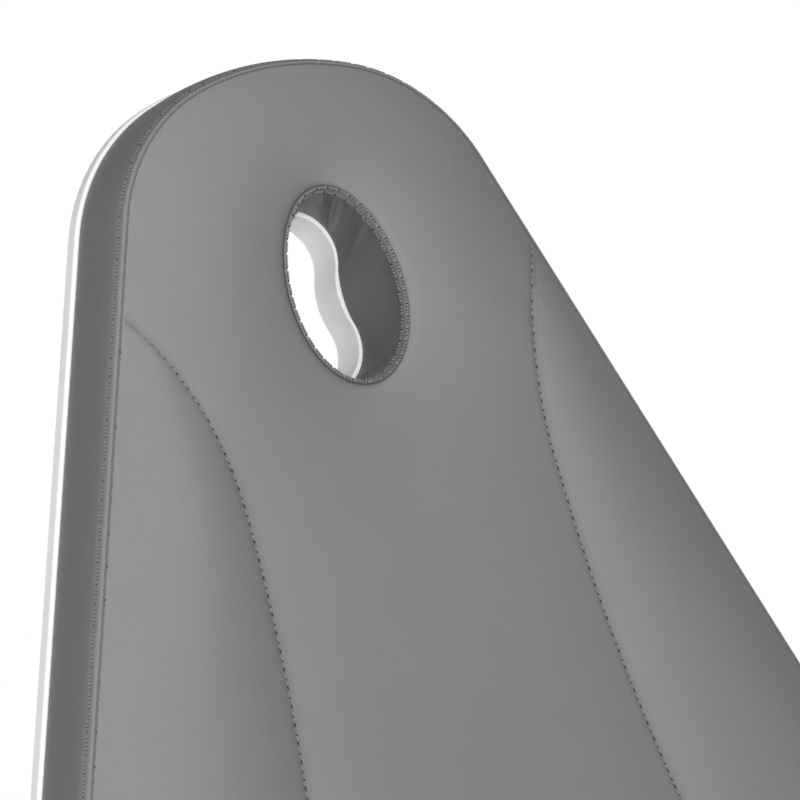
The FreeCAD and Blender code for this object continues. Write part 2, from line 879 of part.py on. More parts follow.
eye_play = S.side_play
ear_outer_x = (half_width - S.ear_inset - S.ear_thickness, half_width - S.ear_inset)
ear_inner_x = (ear_outer_x[0] - S.side_play - S.ear_thickness, ear_outer_x[0] - S.side_play)
rail_x = across(half_width - S.rail_edge_inset, S.rail_width)
lug_x = (rail_x[1] - S.ear_thickness, rail_x[1])
leg_lug_x = (lug_x[0] - S.side_play - S.ear_thickness, lug_x[0] - S.side_play)
leg_rail_x = (leg_lug_x[1] - S.rail_width, leg_lug_x[1])
rail_z = (rail_low, board_under)
outrigger_y = (back_pivot[0] - S.outrigger_set_back - S.rail_width,
               back_pivot[0] - S.outrigger_set_back)
back_anchor = (seat_y - S.cross_spacing / 2, S.seat_height - S.actuator_drop)
leg_anchor = (seat_y + S.cross_spacing / 2, S.seat_height - S.actuator_drop)


def bracket_pair(centre_x, gap, thickness, y, z, eye=None):
    """Two plates, either side of a centre line, with a round end at an eye."""
    plates = []
    for side in (1, -1):
        low, high = on_side(side, (gap / 2, gap / 2 + thickness))
        x = (centre_x + low, centre_x + high)
        plates.append(box(x, y, z))
        if eye is not None:
            plates.append(rod(ALONG_X, (x[0], *eye), S.eye_radius, thickness))
    return plates


def seat_frame():
    pieces = []
    bores = []
    pivot_y, pivot_z = back_pivot
    leg_y, leg_z = leg_pivot
    for side in (1, -1):
        pieces.append(tube(on_side(side, rail_x), (leg_y + S.rail_set_back, outrigger_y[1]), rail_z, 1))
        pieces.append(tube(on_side(side, (rail_x[1], ear_inner_x[0])), outrigger_y, rail_z, 0))
        ear_x = on_side(side, ear_inner_x)
        arm_y = across(pivot_y, S.ear_half_width * 2)
        pieces.append(box(ear_x, (outrigger_y[0], arm_y[1]), rail_z))
        pieces.append(box(ear_x, arm_y, (rail_low, pivot_z)))
        pieces.append(rod(ALONG_X, (ear_x[0], *back_pivot), S.ear_round, S.ear_thickness))
        this_lug = on_side(side, lug_x)
        pieces.append(box(this_lug, (leg_y, leg_y + S.rail_set_back), across(leg_z, 2 * S.leg_lug_round)))
        pieces.append(rod(ALONG_X, (this_lug[0], *leg_pivot), S.leg_lug_round, S.ear_thickness))
    front_cross_y = across(back_anchor[0], S.rail_width)
    rear_cross_y = across(leg_anchor[0], S.rail_width)
    bridge_start = S.head_plate_width / 2
    pieces.append(tube((-rail_x[0], rail_x[0]), front_cross_y, rail_z, 0))
    pieces.append(tube((-rail_x[0], bridge_start), rear_cross_y, rail_z, 0))
    pieces.append(box((bridge_start, rail_x[0]), rear_cross_y, (board_under - S.bridge_depth, board_under)))
    gap = S.eye_thickness + 2 * eye_play
    for side, (anchor_y, anchor_z) in ((1, back_anchor), (-1, leg_anchor)):
        centre_x = side * S.actuator_offset
        pieces += bracket_pair(centre_x, gap, S.lever_thickness, across(anchor_y, 2 * S.eye_radius),
                               (anchor_z, rail_low), (anchor_y, anchor_z))
        bores.append(rod(ALONG_X, (centre_x - S.rail_width, anchor_y, anchor_z),
                         S.eye_pin_radius + S.bore_play, 2 * S.rail_width))
    bore_radius = S.pin_radius + S.bore_play
    for pivot in (back_pivot, leg_pivot):
        bores.append(rod(ALONG_X, (-half_width, *pivot), bore_radius, S.bed_width))
    return node("seat_frame", cut(join(*pieces), *bores))


def hinge_pins(name, inner_face, outer_face, pivot):
    pins = []
    for side in (1, -1):
        span = on_side(side, (inner_face - S.side_play / 2, outer_face + S.side_play / 2))
        pins.append(pin(span, pivot, S.pin_radius, S.pin_head_radius))
    return group(name, *pins)


def anchor_pins():
    pins = []
    reach = S.eye_thickness / 2 + eye_play + S.lever_thickness + S.side_play / 2
    for side, pivot in ((1, back_anchor), (-1, leg_anchor)):
        centre_x = side * S.actuator_offset
        pins.append(pin((centre_x - reach, centre_x + reach), pivot, S.eye_pin_radius,
                        S.pin_head_radius))
    return group("anchor_pins", *pins)


seat_frame()
hinge_pins("back_hinge_pins", ear_inner_x[0], ear_outer_x[1], back_pivot)
hinge_pins("leg_hinge_pins", leg_lug_x[0], lug_x[1], leg_pivot)
anchor_pins()


# Backrest, leg and seat sections

def back_frame():
    """The backrest's tubes, hinge ears and lever, level under its board."""
    pivot_y, pivot_z = back_pivot
    z = (board_under - S.back_rail_height, board_under)
    low_y = (pivot_y + S.back_rail_start, pivot_y + S.back_rail_start + S.rail_width)
    high_y = (pivot_y + S.back_rail_end - S.rail_width, pivot_y + S.back_rail_end)
    pieces = [tube((-ear_outer_x[0], ear_outer_x[0]), low_y, z, 0)]
    rail = across(S.back_rail_spacing / 2, S.rail_width)
    pieces.append(tube((-rail[0], rail[0]), high_y, z, 0))
    for side in (1, -1):
        pieces.append(tube(on_side(side, rail), (low_y[1], high_y[1]), z, 1))
        ear_x = on_side(side, ear_outer_x)
        arm_y = across(pivot_y, S.ear_half_width * 2)
        pieces.append(box(ear_x, (arm_y[0], low_y[1]), z))
        pieces.append(box(ear_x, arm_y, (z[0], pivot_z)))
        pieces.append(rod(ALONG_X, (ear_x[0], *back_pivot), S.ear_round, S.ear_thickness))
    eye = (pivot_y - S.back_lever_reach, pivot_z - S.back_lever_drop)
    arm_z = across(eye[1], 2 * S.eye_radius)
    pieces += bracket_pair(S.actuator_offset, S.lever_gap, S.lever_thickness, (eye[0], low_y[1]),
                           arm_z, eye)
    pieces += bracket_pair(S.actuator_offset, S.lever_gap, S.lever_thickness, low_y, (eye[1], z[0]))
    bore = rod(ALONG_X, (-half_width, *back_pivot), S.pin_radius + S.bore_play, S.bed_width)
    thing = node("back_frame", cut(join(*pieces), bore))
    return turn_about(thing, back_pivot, S.back_angle.value)


def leg_frame():
    """The leg section's tubes, hinge lugs and lever."""
    pivot_y, pivot_z = leg_pivot
    near_y = (pivot_y - S.leg_cross_start - S.rail_width, pivot_y - S.leg_cross_start)
    far_y = (pivot_y - S.leg_rail_end, pivot_y - S.leg_rail_end + S.rail_width)
    pieces = []
    for y in (near_y, far_y):
        pieces.append(tube((-leg_rail_x[0], leg_rail_x[0]), y, rail_z, 0))
    for side in (1, -1):
        pieces.append(tube(on_side(side, leg_rail_x), (far_y[0], pivot_y - S.rail_set_back), rail_z, 1))
        this_lug = on_side(side, leg_lug_x)
        lug_z = across(pivot_z, 2 * S.leg_lug_round)
        pieces.append(box(this_lug, (pivot_y - S.rail_set_back, pivot_y), lug_z))
        pieces.append(rod(ALONG_X, (this_lug[0], *leg_pivot), S.leg_lug_round, S.ear_thickness))
    eye = (pivot_y - S.leg_lever_reach, pivot_z - S.leg_lever_drop)
    pieces += bracket_pair(-S.actuator_offset, S.lever_gap, S.lever_thickness,
                           across(eye[0], 2 * S.eye_radius), (eye[1], rail_low), eye)
    bore = rod(ALONG_X, (-half_width, *leg_pivot), S.pin_radius + S.bore_play, S.bed_width)
    return node("leg_frame", cut(join(*pieces), bore))


def channel_arcs_of_back():
    """The backrest's two sewn channels: a long easy arc and a closer one at the top."""
    waist = S.channel_waist.value
    waist_y = back_pivot[0].value + S.channel_waist_reach.value
    long_round = S.channel_round.value
    top_round = S.channel_top_round.value
    low_end = swept_angle(S.channel_waist_reach.value, long_round)
    high_end = swept_angle(S.channel_top_reach.value - S.channel_waist_reach.value, top_round)
    return (both_channels(waist + long_round, waist_y, long_round, 180, 180 + low_end)
            + both_channels(waist + top_round, waist_y, top_round, 180 - high_end, 180))


def straight_channels(start_y, length, along):
    """Channels that carry on straight from the backrest's along a level section."""
    long_round = S.channel_round.value
    spread = long_round - math.sqrt(long_round ** 2 - S.channel_waist_reach.value ** 2)
    level = S.seat_height.value + S.channel_radius.value - S.channel_depth.value
    start = FreeCAD.Vector(S.channel_waist.value + spread, start_y, level)
    way = FreeCAD.Vector(0, along, 0)
    right = Part.makeCylinder(S.channel_radius.value, length, start, way)
    return [right, right.mirror(FreeCAD.Vector(), X_AXIS)]


def section(name, arcs, start_y, along, channels, opening=None):
    """A cushion: its crowned form with the sewn channels and any opening cut."""
    form = cushion_form(arcs, start_y, along)
    form = form.cut(channels)
    if opening is not None:
        form = form.cut(opening)
    return feature(name, form)


face_y = back_pivot[0] + S.face_reach
face_oval = Part.Ellipse(FreeCAD.Vector(ZERO.value, S.face_length.value / 2, 0),
                         FreeCAD.Vector(S.face_width.value / 2, 0, 0), FreeCAD.Vector())
face_wire = Part.Wire([face_oval.toShape()])
face_wire.translate(FreeCAD.Vector(0, face_y.value, board_under.value))
face_opening = Part.Face(face_wire).extrude(FreeCAD.Vector(0, 0, 2 * S.cushion_depth.value))
face_opening = face_opening.fuse(collar_space(face_y.value))

back_frame()
back_board = board("back_board", outline_arcs_of_back(), back_pivot[0], 1, face_hole_curves(face_y.value))
back_cushion = section("back_cushion", outline_arcs_of_back(), back_pivot[0].value, 1,
                       channel_arcs_of_back(), face_opening)
for tilted in (back_board, face_collar(face_y.value), back_cushion):
    turn_about(tilted, back_pivot, S.back_angle.value)
board("seat_board", outline_arcs_of_seat(), seat_front, 1)
section("seat_cushion", outline_arcs_of_seat(), seat_front.value, 1,
        straight_channels(seat_front.value, S.seat_length.value, 1))
leg_frame()
board("leg_board", outline_arcs_of_leg(), leg_end, -1)
section("leg_cushion", outline_arcs_of_leg(), leg_end.value, -1,
        straight_channels(leg_end.value, S.leg_length.value, -1))


# Linear actuators

def distance(start, end):
    run = end[0] - start[0]
    rise = end[1] - start[1]
    return Size(f"sqrt({run.text}^2 + {rise.text}^2)", math.hypot(run.value, rise.value))


def actuator(name, side, way, anchor, eye_now, eye_shortest):
    """A screw actuator: gear housing, motor, stroke tube and rod, then tilted in place."""
    centre_x = side * S.actuator_offset
    start_y, start_z = anchor
    reach = distance(anchor, eye_now)
    tube_end = distance(anchor, eye_shortest) - S.stroke_tube_drop
    half_height = S.housing_height / 2
    neck = S.housing_neck
    housing_end = neck + S.housing_length
    angle = math.degrees(math.atan2(way * (eye_now[1] - start_z).value, way * (eye_now[0] - start_y).value))

    def spread(low, high):
        low, high = on_side(side, (low, high))
        return (centre_x + low, centre_x + high)

    def cylinder(low, high, radius, offset=ZERO):
        y = ahead(way, start_y, low, high)
        return rod(ALONG_Y, (centre_x + side * offset, y[0], start_z), radius, y[1] - y[0])

    def eye_at(place_y):
        left_face = centre_x - S.eye_thickness / 2
        return rod(ALONG_X, (left_face, place_y, start_z), S.eye_radius, S.eye_thickness)
    eye_x = across(centre_x, S.eye_thickness)
    eye_z = across(start_z, 2 * S.eye_radius)
    case = box(spread(-(S.housing_width / 2), S.motor_offset + S.motor_radius),
               ahead(way, start_y, neck, housing_end), (start_z - half_height, start_z + half_height))
    case = soften(case, S.column_round, lambda edge: is_along(edge, Y_AXIS))
    neck_block = box(eye_x, ahead(way, start_y, ZERO, neck), eye_z)
    bore = rod(ALONG_X, (centre_x - S.rail_width, start_y, start_z), S.eye_pin_radius + S.bore_play,
               2 * S.rail_width)
    housing = cut(join(case, neck_block, eye_at(start_y)), bore)
    motor_end = housing_end + S.motor_length
    motor = join(cylinder(housing_end, motor_end, S.motor_radius, S.motor_offset),
                 cylinder(motor_end, motor_end + S.motor_cap_length,
                          S.motor_radius - S.motor_cap_round, S.motor_offset))
    sleeve = join(cylinder(housing_end, tube_end, S.stroke_tube_radius),
                  cylinder(tube_end - S.stroke_cap_length, tube_end,
                           S.stroke_tube_radius + S.stroke_cap_wall))
    sleeve = cut(sleeve, cylinder(housing_end - OVERRUN, tube_end + OVERRUN,
                                  S.stroke_rod_radius + S.stroke_rod_play))
    eye_y = start_y + way * reach
    pin_x = centre_x - S.eye_pin_length / 2
    slider = join(cylinder(reach - S.stroke_rod_length, reach, S.stroke_rod_radius), eye_at(eye_y),
                  rod(ALONG_X, (pin_x, eye_y, start_z), S.eye_pin_radius, S.eye_pin_length))
    pieces = (("housing", housing), ("motor", motor), ("tube", sleeve), ("rod", slider))
    for piece_name, piece in pieces:
        turn_about(node(f"{name}_{piece_name}", piece), anchor, angle)


pivot_y, pivot_z = back_pivot
reach, drop = S.back_lever_reach, S.back_lever_drop
back_eye_level = (pivot_y - reach, pivot_z - drop)
back_eye_raised = (pivot_y - times(reach, back_run) + times(drop, back_rise),
                   pivot_z - times(reach, back_rise) - times(drop, back_run))
actuator("back_actuator", 1, 1, back_anchor, back_eye_raised, back_eye_level)

low_radians = math.radians(S.leg_angle_low.value)
low_rise = Size("sin(Sizes.leg_angle_low * 1 deg)", math.sin(low_radians))
low_run = Size("cos(Sizes.leg_angle_low * 1 deg)", math.cos(low_radians))
reach, drop = S.leg_lever_reach, S.leg_lever_drop
leg_eye_level = (leg_pivot[0] - reach, leg_pivot[1] - drop)
leg_eye_low = (leg_pivot[0] - times(reach, low_run) + times(drop, low_rise),
               leg_pivot[1] - times(reach, low_rise) - times(drop, low_run))
actuator("leg_actuator", -1, -1, leg_anchor, leg_eye_level, leg_eye_low)


# Fronts, pulls and drawers

front_x = (-(carcass_side + S.front_stand_off + S.panel), -(carcass_side + S.front_stand_off))
divider_middle = divider_foot_face + S.panel / 2
door_split = (carcass_foot + divider_middle) / 2
front_split = (carcass_low + carcass_top) / 2
half_gap = S.front_gap / 2


def front(name, y, z):
    """A door or drawer front with its outer edges eased."""
    body = new_body()
    drawing = sketch(body, "YZ_Plane", front_x[0])
    rectangle(drawing, y, z)
    pad(body, drawing, S.panel)
    outer = front_x[0].value

    def on_outer_face(edge):
        return abs(edge.BoundBox.XMax - outer) < S.front_edge_round.value / 2
    round_edges(body, S.front_edge_round, on_outer_face)
    return node(name, body)


def bar_pull(name, centre_y, centre_z, upright):
    """A round bar pull: two legs and a grip, bent from one bar."""
    body = new_body()
    half = S.pull_length / 2
    face = front_x[0]
    low = (centre_y if upright else centre_y - half).value
    profile = sketch(body, "YZ_Plane", face)
    foot = FreeCAD.Vector(low, (centre_z - half if upright else centre_z).value, 0)
    circle = profile.addGeometry(Part.Circle(foot, Z_AXIS, S.pull_radius.value), False)
    number = profile.addConstraint(Sketcher.Constraint("Radius", circle, S.pull_radius.value))
    bind(profile, f"Constraints[{number}]", S.pull_radius)
    path = sketch(body, "XZ_Plane" if upright else "XY_Plane", -centre_y if upright else centre_z)
    middle = (centre_z if upright else centre_y).value
    bend = S.pull_bend.value
    near = face.value
    far = near - S.pull_reach.value
    start = middle - half.value
    end = middle + half.value
    lean = bend * (1 - math.sqrt(0.5))

    def point(x, along):
        return FreeCAD.Vector(x, along, 0)
    path.addGeometry([
        Part.LineSegment(point(near, start), point(far + bend, start)),
        Part.Arc(point(far + bend, start), point(far + lean, start + lean), point(far, start + bend)),
        Part.LineSegment(point(far, start + bend), point(far, end - bend)),
        Part.Arc(point(far, end - bend), point(far + lean, end - lean), point(far + bend, end)),
        Part.LineSegment(point(far + bend, end), point(near, end)),
    ], False)
    pipe = body.newObject("PartDesign::AdditivePipe", "Pipe")
    pipe.Profile = profile
    pipe.Spine = path
    return node(name, body)


def drawer(number, z):
    """One drawer: tray, front, pull and the moving halves of its runners."""
    y = (divider_middle + S.hinge_knuckle_radius + half_gap, carcass_head - half_gap)
    front(f"drawer_{number}_front", y, z)
    bar_pull(f"drawer_{number}_pull", (y[0] + y[1]) / 2, z[1] - S.pull_inset, False)
    space = S.runner_space
    tray_x = (front_x[1], front_x[1] + S.drawer_depth)
    tray_y = (drawer_bay_y[0] + space, drawer_bay_y[1] - space)
    tray_z = (z[0] + S.drawer_lift, z[1] - S.drawer_headroom)
    wall = S.drawer_wall
    body = new_body()
    drawing = sketch(body, "XY_Plane", tray_z[0])
    rectangle(drawing, tray_x, tray_y)
    pad(body, drawing, tray_z[1] - tray_z[0])
    inside = sketch(body, "XY_Plane", tray_z[1])
    rectangle(inside, (tray_x[0] + wall, tray_x[1] - wall), (tray_y[0] + wall, tray_y[1] - wall))
    pocket(body, inside, tray_z[1] - tray_z[0] - S.drawer_floor)
    node(f"drawer_{number}_tray", body)
    middle = (tray_z[0] + tray_z[1]) / 2
    bar = (space - S.runner_play) / 2
    rail_span = (S.shelf_set_back - carcass_side, tray_x[1])
    moving_z = across(middle, S.runner_height * 2 / 3)
    group(f"drawer_{number}_slides",
          box(rail_span, (tray_y[0] - bar, tray_y[0]), moving_z),
          box(rail_span, (tray_y[1], tray_y[1] + bar), moving_z))
    fixed_z = across(middle, S.runner_height)
    return [box(rail_span, (drawer_bay_y[0], drawer_bay_y[0] + bar), fixed_z),
            box(rail_span, (drawer_bay_y[1] - bar, drawer_bay_y[1]), fixed_z)]


fixed_runners = drawer(1, (front_split + half_gap, carcass_top))
fixed_runners += drawer(2, (carcass_low, front_split - half_gap))
group("drawer_runners", *fixed_runners)


# Doors and their knuckle hinges

hinge_x = front_x[0] - S.hinge_knuckle_radius


def door_hinge(gap_y, way, low_z):
    """One hinge: the leaf on the carcass with the pin, and the leaf on the door."""
    x, y = hinge_x, gap_y
    third = S.hinge_height / 3
    leaf = S.hinge_leaf
    z = (low_z, low_z + S.hinge_height)
    middle_z = (low_z + third, low_z + 2 * third)
    web_y = across(y, leaf)
    web = box((x, leaf - carcass_side - 2 * leaf), web_y, middle_z)
    flange_y = ahead(way, y, -leaf / 2, S.panel / 2)
    flange = box((-carcass_side - leaf, -carcass_side), flange_y, z)
    web_foot = box((-carcass_side - 2 * leaf, -carcass_side), web_y, middle_z)
    knuckle = rod(UPRIGHT, (x, y, middle_z[0]), S.hinge_pin_knuckle_radius, third)
    pin_rod = rod(UPRIGHT, (x, y, z[0]), S.hinge_pin_radius, S.hinge_height)
    fixed = join(web, web_foot, flange, knuckle, pin_rod)
    plate = box((front_x[0] - leaf, front_x[0]), ahead(way, y, leaf, S.hinge_leaf_width), z)
    knuckles = [rod(UPRIGHT, (x, y, start), S.hinge_knuckle_radius, third)
                for start in (z[0], middle_z[1])]
    bore = rod(UPRIGHT, (x, y, z[0] - third), S.hinge_pin_radius + S.bore_play, 5 * third)
    moving = cut(join(plate, *knuckles), bore)
    return fixed, moving


fixed_leaves = []
for number, gap_y, way in ((1, carcass_foot + half_gap, 1), (2, divider_middle, -1)):
    hinge_edge = gap_y + way * half_gap
    free_edge = door_split - way * half_gap
    door_y = (hinge_edge, free_edge) if way > 0 else (free_edge, hinge_edge)
    front(f"door_{number}_panel", door_y, (carcass_low, carcass_top))
    bar_pull(f"door_{number}_pull", free_edge - way * S.pull_inset, front_split + S.pull_length / 2, True)
    moving_leaves = []
    for low_z in (carcass_low + S.hinge_edge_distance,
                  carcass_top - S.hinge_edge_distance - S.hinge_height):
        fixed, moving = door_hinge(gap_y, way, low_z)
        fixed_leaves.append(fixed)
        moving_leaves.append(moving)
    group(f"door_{number}_hinges", *moving_leaves)
group("door_hinge_plates", *fixed_leaves)


# Control switches under the seat's edge

def switches():
    outer_x = S.switch_edge_inset - half_width
    case_z = (board_under - S.switch_height, board_under)
    case_middle = outer_x.value + S.switch_width.value / 2
    case = box((outer_x, outer_x + S.switch_width), across(seat_y, S.switch_length), case_z)
    case = soften(case, S.board_edge_round,
                  lambda edge: is_along(edge, Z_AXIS) and edge.BoundBox.XMax < case_middle)
    level = (case_z[0] + case_z[1]) / 2
    pockets = []
    for name, step in (("leg", -1), ("lift", 0), ("back", 1)):
        y = seat_y + step * S.switch_pitch
        pocket_y = across(y, S.rocker_length + 2 * S.rocker_play)
        pocket_z = across(level, S.rocker_height + 2 * S.rocker_tip_play)
        pockets.append(box((outer_x - OVERRUN, outer_x + S.rocker_pocket), pocket_y, pocket_z))
        low_x = outer_x - S.rocker_stand
        key = box((low_x, low_x + S.rocker_depth), across(y, S.rocker_length),
                  across(level, S.rocker_height))
        dish_x = low_x + S.rocker_dish - S.rocker_dish_round
        dish = rod(ALONG_Y, (dish_x, y - S.rocker_length, level), S.rocker_dish_round, 2 * S.rocker_length)
        barrel_y = across(y, S.rocker_length + 2 * (S.rocker_play - S.bore_play))
        barrel = rod(ALONG_Y, (low_x + S.rocker_depth, barrel_y[0], level),
                     S.rocker_barrel_radius, barrel_y[1] - barrel_y[0])
        node(f"{name}_rocker", join(cut(key, dish), barrel))
    node("switch_housing", cut(case, *pockets))


switches()


# Check every object and write the pieces

document.recompute()
broken = [thing.Name for thing in document.Objects
          if "Invalid" in thing.State or "Error" in thing.State]
if broken:
    raise RuntimeError(f"failed objects: {broken}")
os.makedirs("parts", exist_ok=True)
for thing in nodes:
    shape = thing.Shape
    if shape.isNull() or not shape.isValid():
        raise RuntimeError(f"bad shape: {thing.Label}")
for thing in nodes:
    thing.Shape.exportStep(f"parts/{thing.Label}.step")
print(len(nodes), "pieces")
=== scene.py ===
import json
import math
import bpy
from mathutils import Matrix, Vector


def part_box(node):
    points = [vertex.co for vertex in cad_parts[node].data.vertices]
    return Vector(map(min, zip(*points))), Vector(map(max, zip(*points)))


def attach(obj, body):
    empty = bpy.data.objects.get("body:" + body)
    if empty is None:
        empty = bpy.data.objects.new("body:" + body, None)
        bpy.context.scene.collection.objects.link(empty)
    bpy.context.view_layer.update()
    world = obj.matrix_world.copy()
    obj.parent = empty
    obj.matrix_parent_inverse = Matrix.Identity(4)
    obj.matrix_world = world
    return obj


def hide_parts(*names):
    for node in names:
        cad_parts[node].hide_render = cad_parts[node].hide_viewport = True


bl_info = {
    "name": "Spa bed dressing",
    "version": (1, 0, 0),
    "blender": (4, 5, 0),
    "location": "3D View > Sidebar > Spa bed",
    "description": "Upholsters, finishes and lights the packed spa bed",
    "category": "Object",
}

from contextlib import contextmanager

import bmesh
import bpy
import numpy as np
from bpy.props import FloatProperty, FloatVectorProperty, IntProperty, PointerProperty
from mathutils import Matrix, Vector
from mathutils.geometry import delaunay_2d_cdt
from mathutils.kdtree import KDTree

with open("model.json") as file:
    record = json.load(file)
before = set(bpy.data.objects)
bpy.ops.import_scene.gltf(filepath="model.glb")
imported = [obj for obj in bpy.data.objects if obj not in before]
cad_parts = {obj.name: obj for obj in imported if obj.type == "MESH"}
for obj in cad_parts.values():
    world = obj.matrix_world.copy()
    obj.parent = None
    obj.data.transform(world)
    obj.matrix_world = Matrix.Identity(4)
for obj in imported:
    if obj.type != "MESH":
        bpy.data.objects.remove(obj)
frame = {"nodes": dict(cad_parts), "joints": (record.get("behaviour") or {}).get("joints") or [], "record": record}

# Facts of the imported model. Lengths are in metres and angles in radians.
JOINTS = {joint["name"]: joint for joint in frame["joints"]}
SEAT_LOW, SEAT_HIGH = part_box("seat_board")
LEG_LOW, LEG_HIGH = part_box("leg_board")
SEAT_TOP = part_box("seat_cushion")[1].z
BOARD_UNDER = SEAT_LOW.z
HINGE_HEIGHT = 0.060
BED_WIDTH = SEAT_HIGH.x - SEAT_LOW.x
BACK_PIVOT = Vector(JOINTS["backrest_tilt"]["pos_m"])
BACK_ANGLE = -math.radians(JOINTS["backrest_tilt"]["range_deg"][0])

# Each section is sewn level, in its own width, length and height above the seat.
RAISED = (Matrix.Translation(BACK_PIVOT) @ Matrix.Rotation(BACK_ANGLE, 4, "X")
          @ Matrix.Translation(-BACK_PIVOT))
BACK_PLACE = RAISED @ Matrix.Translation((0, BACK_PIVOT.y, SEAT_TOP))
SEAT_PLACE = Matrix.Translation((0, SEAT_LOW.y, SEAT_TOP))
LEG_PLACE = Matrix.Translation((0, LEG_HIGH.y, SEAT_TOP)) @ Matrix.Scale(-1, 4, (0, 1, 0))


# Sizes and colours that a user would change

def length(name, description, value):
    return FloatProperty(name=name, description=description, default=value, unit="LENGTH")


class UpholsterySizes(bpy.types.PropertyGroup):
    """Sizes of the padded sections"""
    seam_inset: length("Seam inset", "From the board's edge in to the edge seam", 0.012)
    corner_round: length("Corner radius", "Radius of the square corners in plan", 0.070)
    back_length: length("Backrest length", "From its hinge end to the top of the head", 0.810)
    head_round: length("Head radius", "Radius of the arc over the head end", 0.2654)
    head_round_angle: FloatProperty(
        name="Head arc", description="Half of the angle of the arc over the head end",
        default=math.radians(16.4), subtype="ANGLE")
    head_side_round: length("Head side radius", "Radius beside the arc over the head end", 0.160)
    shoulder_round: length(
        "Shoulder radius", "Radius where the straight flare meets the side", 0.300)
    shoulder_reach: length("Shoulder reach", "From the hinge end to where the flare begins", 0.113)
    foot_round: length("Foot radius", "Radius of the leg section's outer corners", 0.140)
    foot_taper: FloatProperty(
        name="Foot taper", description="Lean of the leg section's sides",
        default=math.radians(4), subtype="ANGLE")
    crown_width: length("Crown width", "How far in from the seam the top is still rounded", 0.095)
    crown_drop: length("Crown drop", "How far the edge seam lies below the top", 0.0195)
    crown_lift: length(
        "Crown lift", "How far the filling lifts the bolsters above the top", 0.0055)
    panel_drop: length("Panel drop", "How far the middle panel lies below the bolsters", 0.0062)
    valley_depth: length("Valley depth", "How far a bolster seam pulls the top down", 0.0078)
    valley_inner: length("Inner valley", "How far the pull reaches into the middle panel", 0.015)
    valley_outer: length("Outer valley", "How far the pull reaches into the bolster", 0.054)
    waist: length("Waist", "Half of the width between the bolster seams", 0.146)
    waist_reach: length("Waist reach", "From the hinge end to the narrowest place", 0.451)
    waist_round: length("Waist radius", "Radius of the long lower bolster seams", 1.541)
    top_round: length("Upper seam radius", "Radius of the upper bolster seams", 0.320)
    top_reach: length("Upper seam reach", "Where the bolster seams meet the edge", 0.650)
    face_reach: length("Face opening", "From the hinge end to the opening's middle", 0.615)
    face_width: length("Face opening width", "Across the opening between its rims", 0.104)
    face_length: length("Face opening length", "Along the opening between its rims", 0.157)
    grid_step: length("Mesh step", "Distance between points of the open surface", 0.0055)
    stitch_pitch: length("Stitch pitch", "Length of one stitch of the topstitching", 0.0034)
    bolster_pitch: length("Bolster pitch", "Length of one stitch of the bolster seams", 0.0070)
    thread: length("Thread", "Thickness of the sewing thread", 0.0018)
    pressure: FloatProperty(
        name="Fill", description="Pressure of the filling while the cover settles",
        default=4.0)
    settle_limit: length("Settle limit", "How far a point may move while it settles", 0.004)
    settle_frames: IntProperty(
        name="Settle frames", description="Steps of the cloth simulation", default=12)


def colour_property(name, description, value):
    return FloatVectorProperty(name=name, description=description, subtype="COLOR",
                               size=4, min=0, max=1, default=(*value, 1))


class FinishColours(bpy.types.PropertyGroup):
    """Colours of the finishes"""
    vinyl: colour_property("Vinyl", "Grey synthetic leather", (0.161, 0.157, 0.1568))
    thread: colour_property("Thread", "Grey sewing thread", (0.25, 0.245, 0.24))
    # Painted shadow: the colour of the dark beads set between the stitches.
    hole: colour_property("Needle holes", "Shadow between the stitches", (0.018, 0.018, 0.018))
    board: colour_property("Boards", "White lacquer of the boards", (0.985, 0.985, 0.98))
    cabinet: colour_property("Cabinet", "White lacquer of the cabinet", (0.80, 0.80, 0.79))
    tray: colour_property("Trays", "Pale grey laminate of the drawers", (0.55, 0.54, 0.52))
    plinth: colour_property("Plinth", "Dark laminate of the plinth", (0.075, 0.075, 0.08))
    powder_coat: colour_property("Powder coat", "Light grey steel frames", (0.58, 0.585, 0.59))
    anodised: colour_property("Anodised", "Satin aluminium columns", (0.62, 0.625, 0.63))
    steel: colour_property("Steel", "Zinc-plated steel", (0.60, 0.60, 0.59))
    chrome: colour_property("Chrome", "Polished actuator rods", (0.78, 0.78, 0.79))
    black: colour_property("Black plastic", "Moulded housings", (0.028, 0.028, 0.03))
    key: colour_property("Keys", "Rocker keys", (0.09, 0.09, 0.095))


# Shader building

class Signal:
    """A shader socket that works in Python sums. Each operator adds its Math node."""

    def __init__(self, graph, socket):
        self.graph = graph
        self.socket = socket

    def math(self, operation, *others):
        return self.graph.node("ShaderNodeMath", dict(enumerate((self, *others))),
                               operation=operation)

    def __add__(self, other):
        return self.math("ADD", other)

    def __mul__(self, other):
        return self.math("MULTIPLY", other)

    def __abs__(self):
        return self.math("ABSOLUTE")

    def __gt__(self, other):
        return self.math("GREATER_THAN", other)

    def __mod__(self, other):
        return self.math("FLOORED_MODULO", other)


class Graph:
    """The node tree of a material or of the world."""

    def __init__(self, owner, output):
        owner.use_nodes = True
        self.tree = owner.node_tree
        self.tree.nodes.clear()
        self.output = self.tree.nodes.new(output)

    def feed(self, socket, value):
        if isinstance(value, Signal):
            self.tree.links.new(value.socket, socket)
        else:
            socket.default_value = value

    def node(self, kind, sockets=None, output=0, **settings):
        """Add a node: its settings first, then what its sockets hold."""
        node = self.tree.nodes.new(kind)
        for name, value in settings.items():
            setattr(node, name, value)
        for name, value in (sockets or {}).items():
            self.feed(node.inputs[name], value)
        return Signal(self, node.outputs[output])

    def ramp(self, value, low, high, low_value=0.0, high_value=1.0, **settings):
        return self.node("ShaderNodeMapRange", {
            "Value": value, "From Min": low, "From Max": high,
            "To Min": low_value, "To Max": high_value}, **settings)


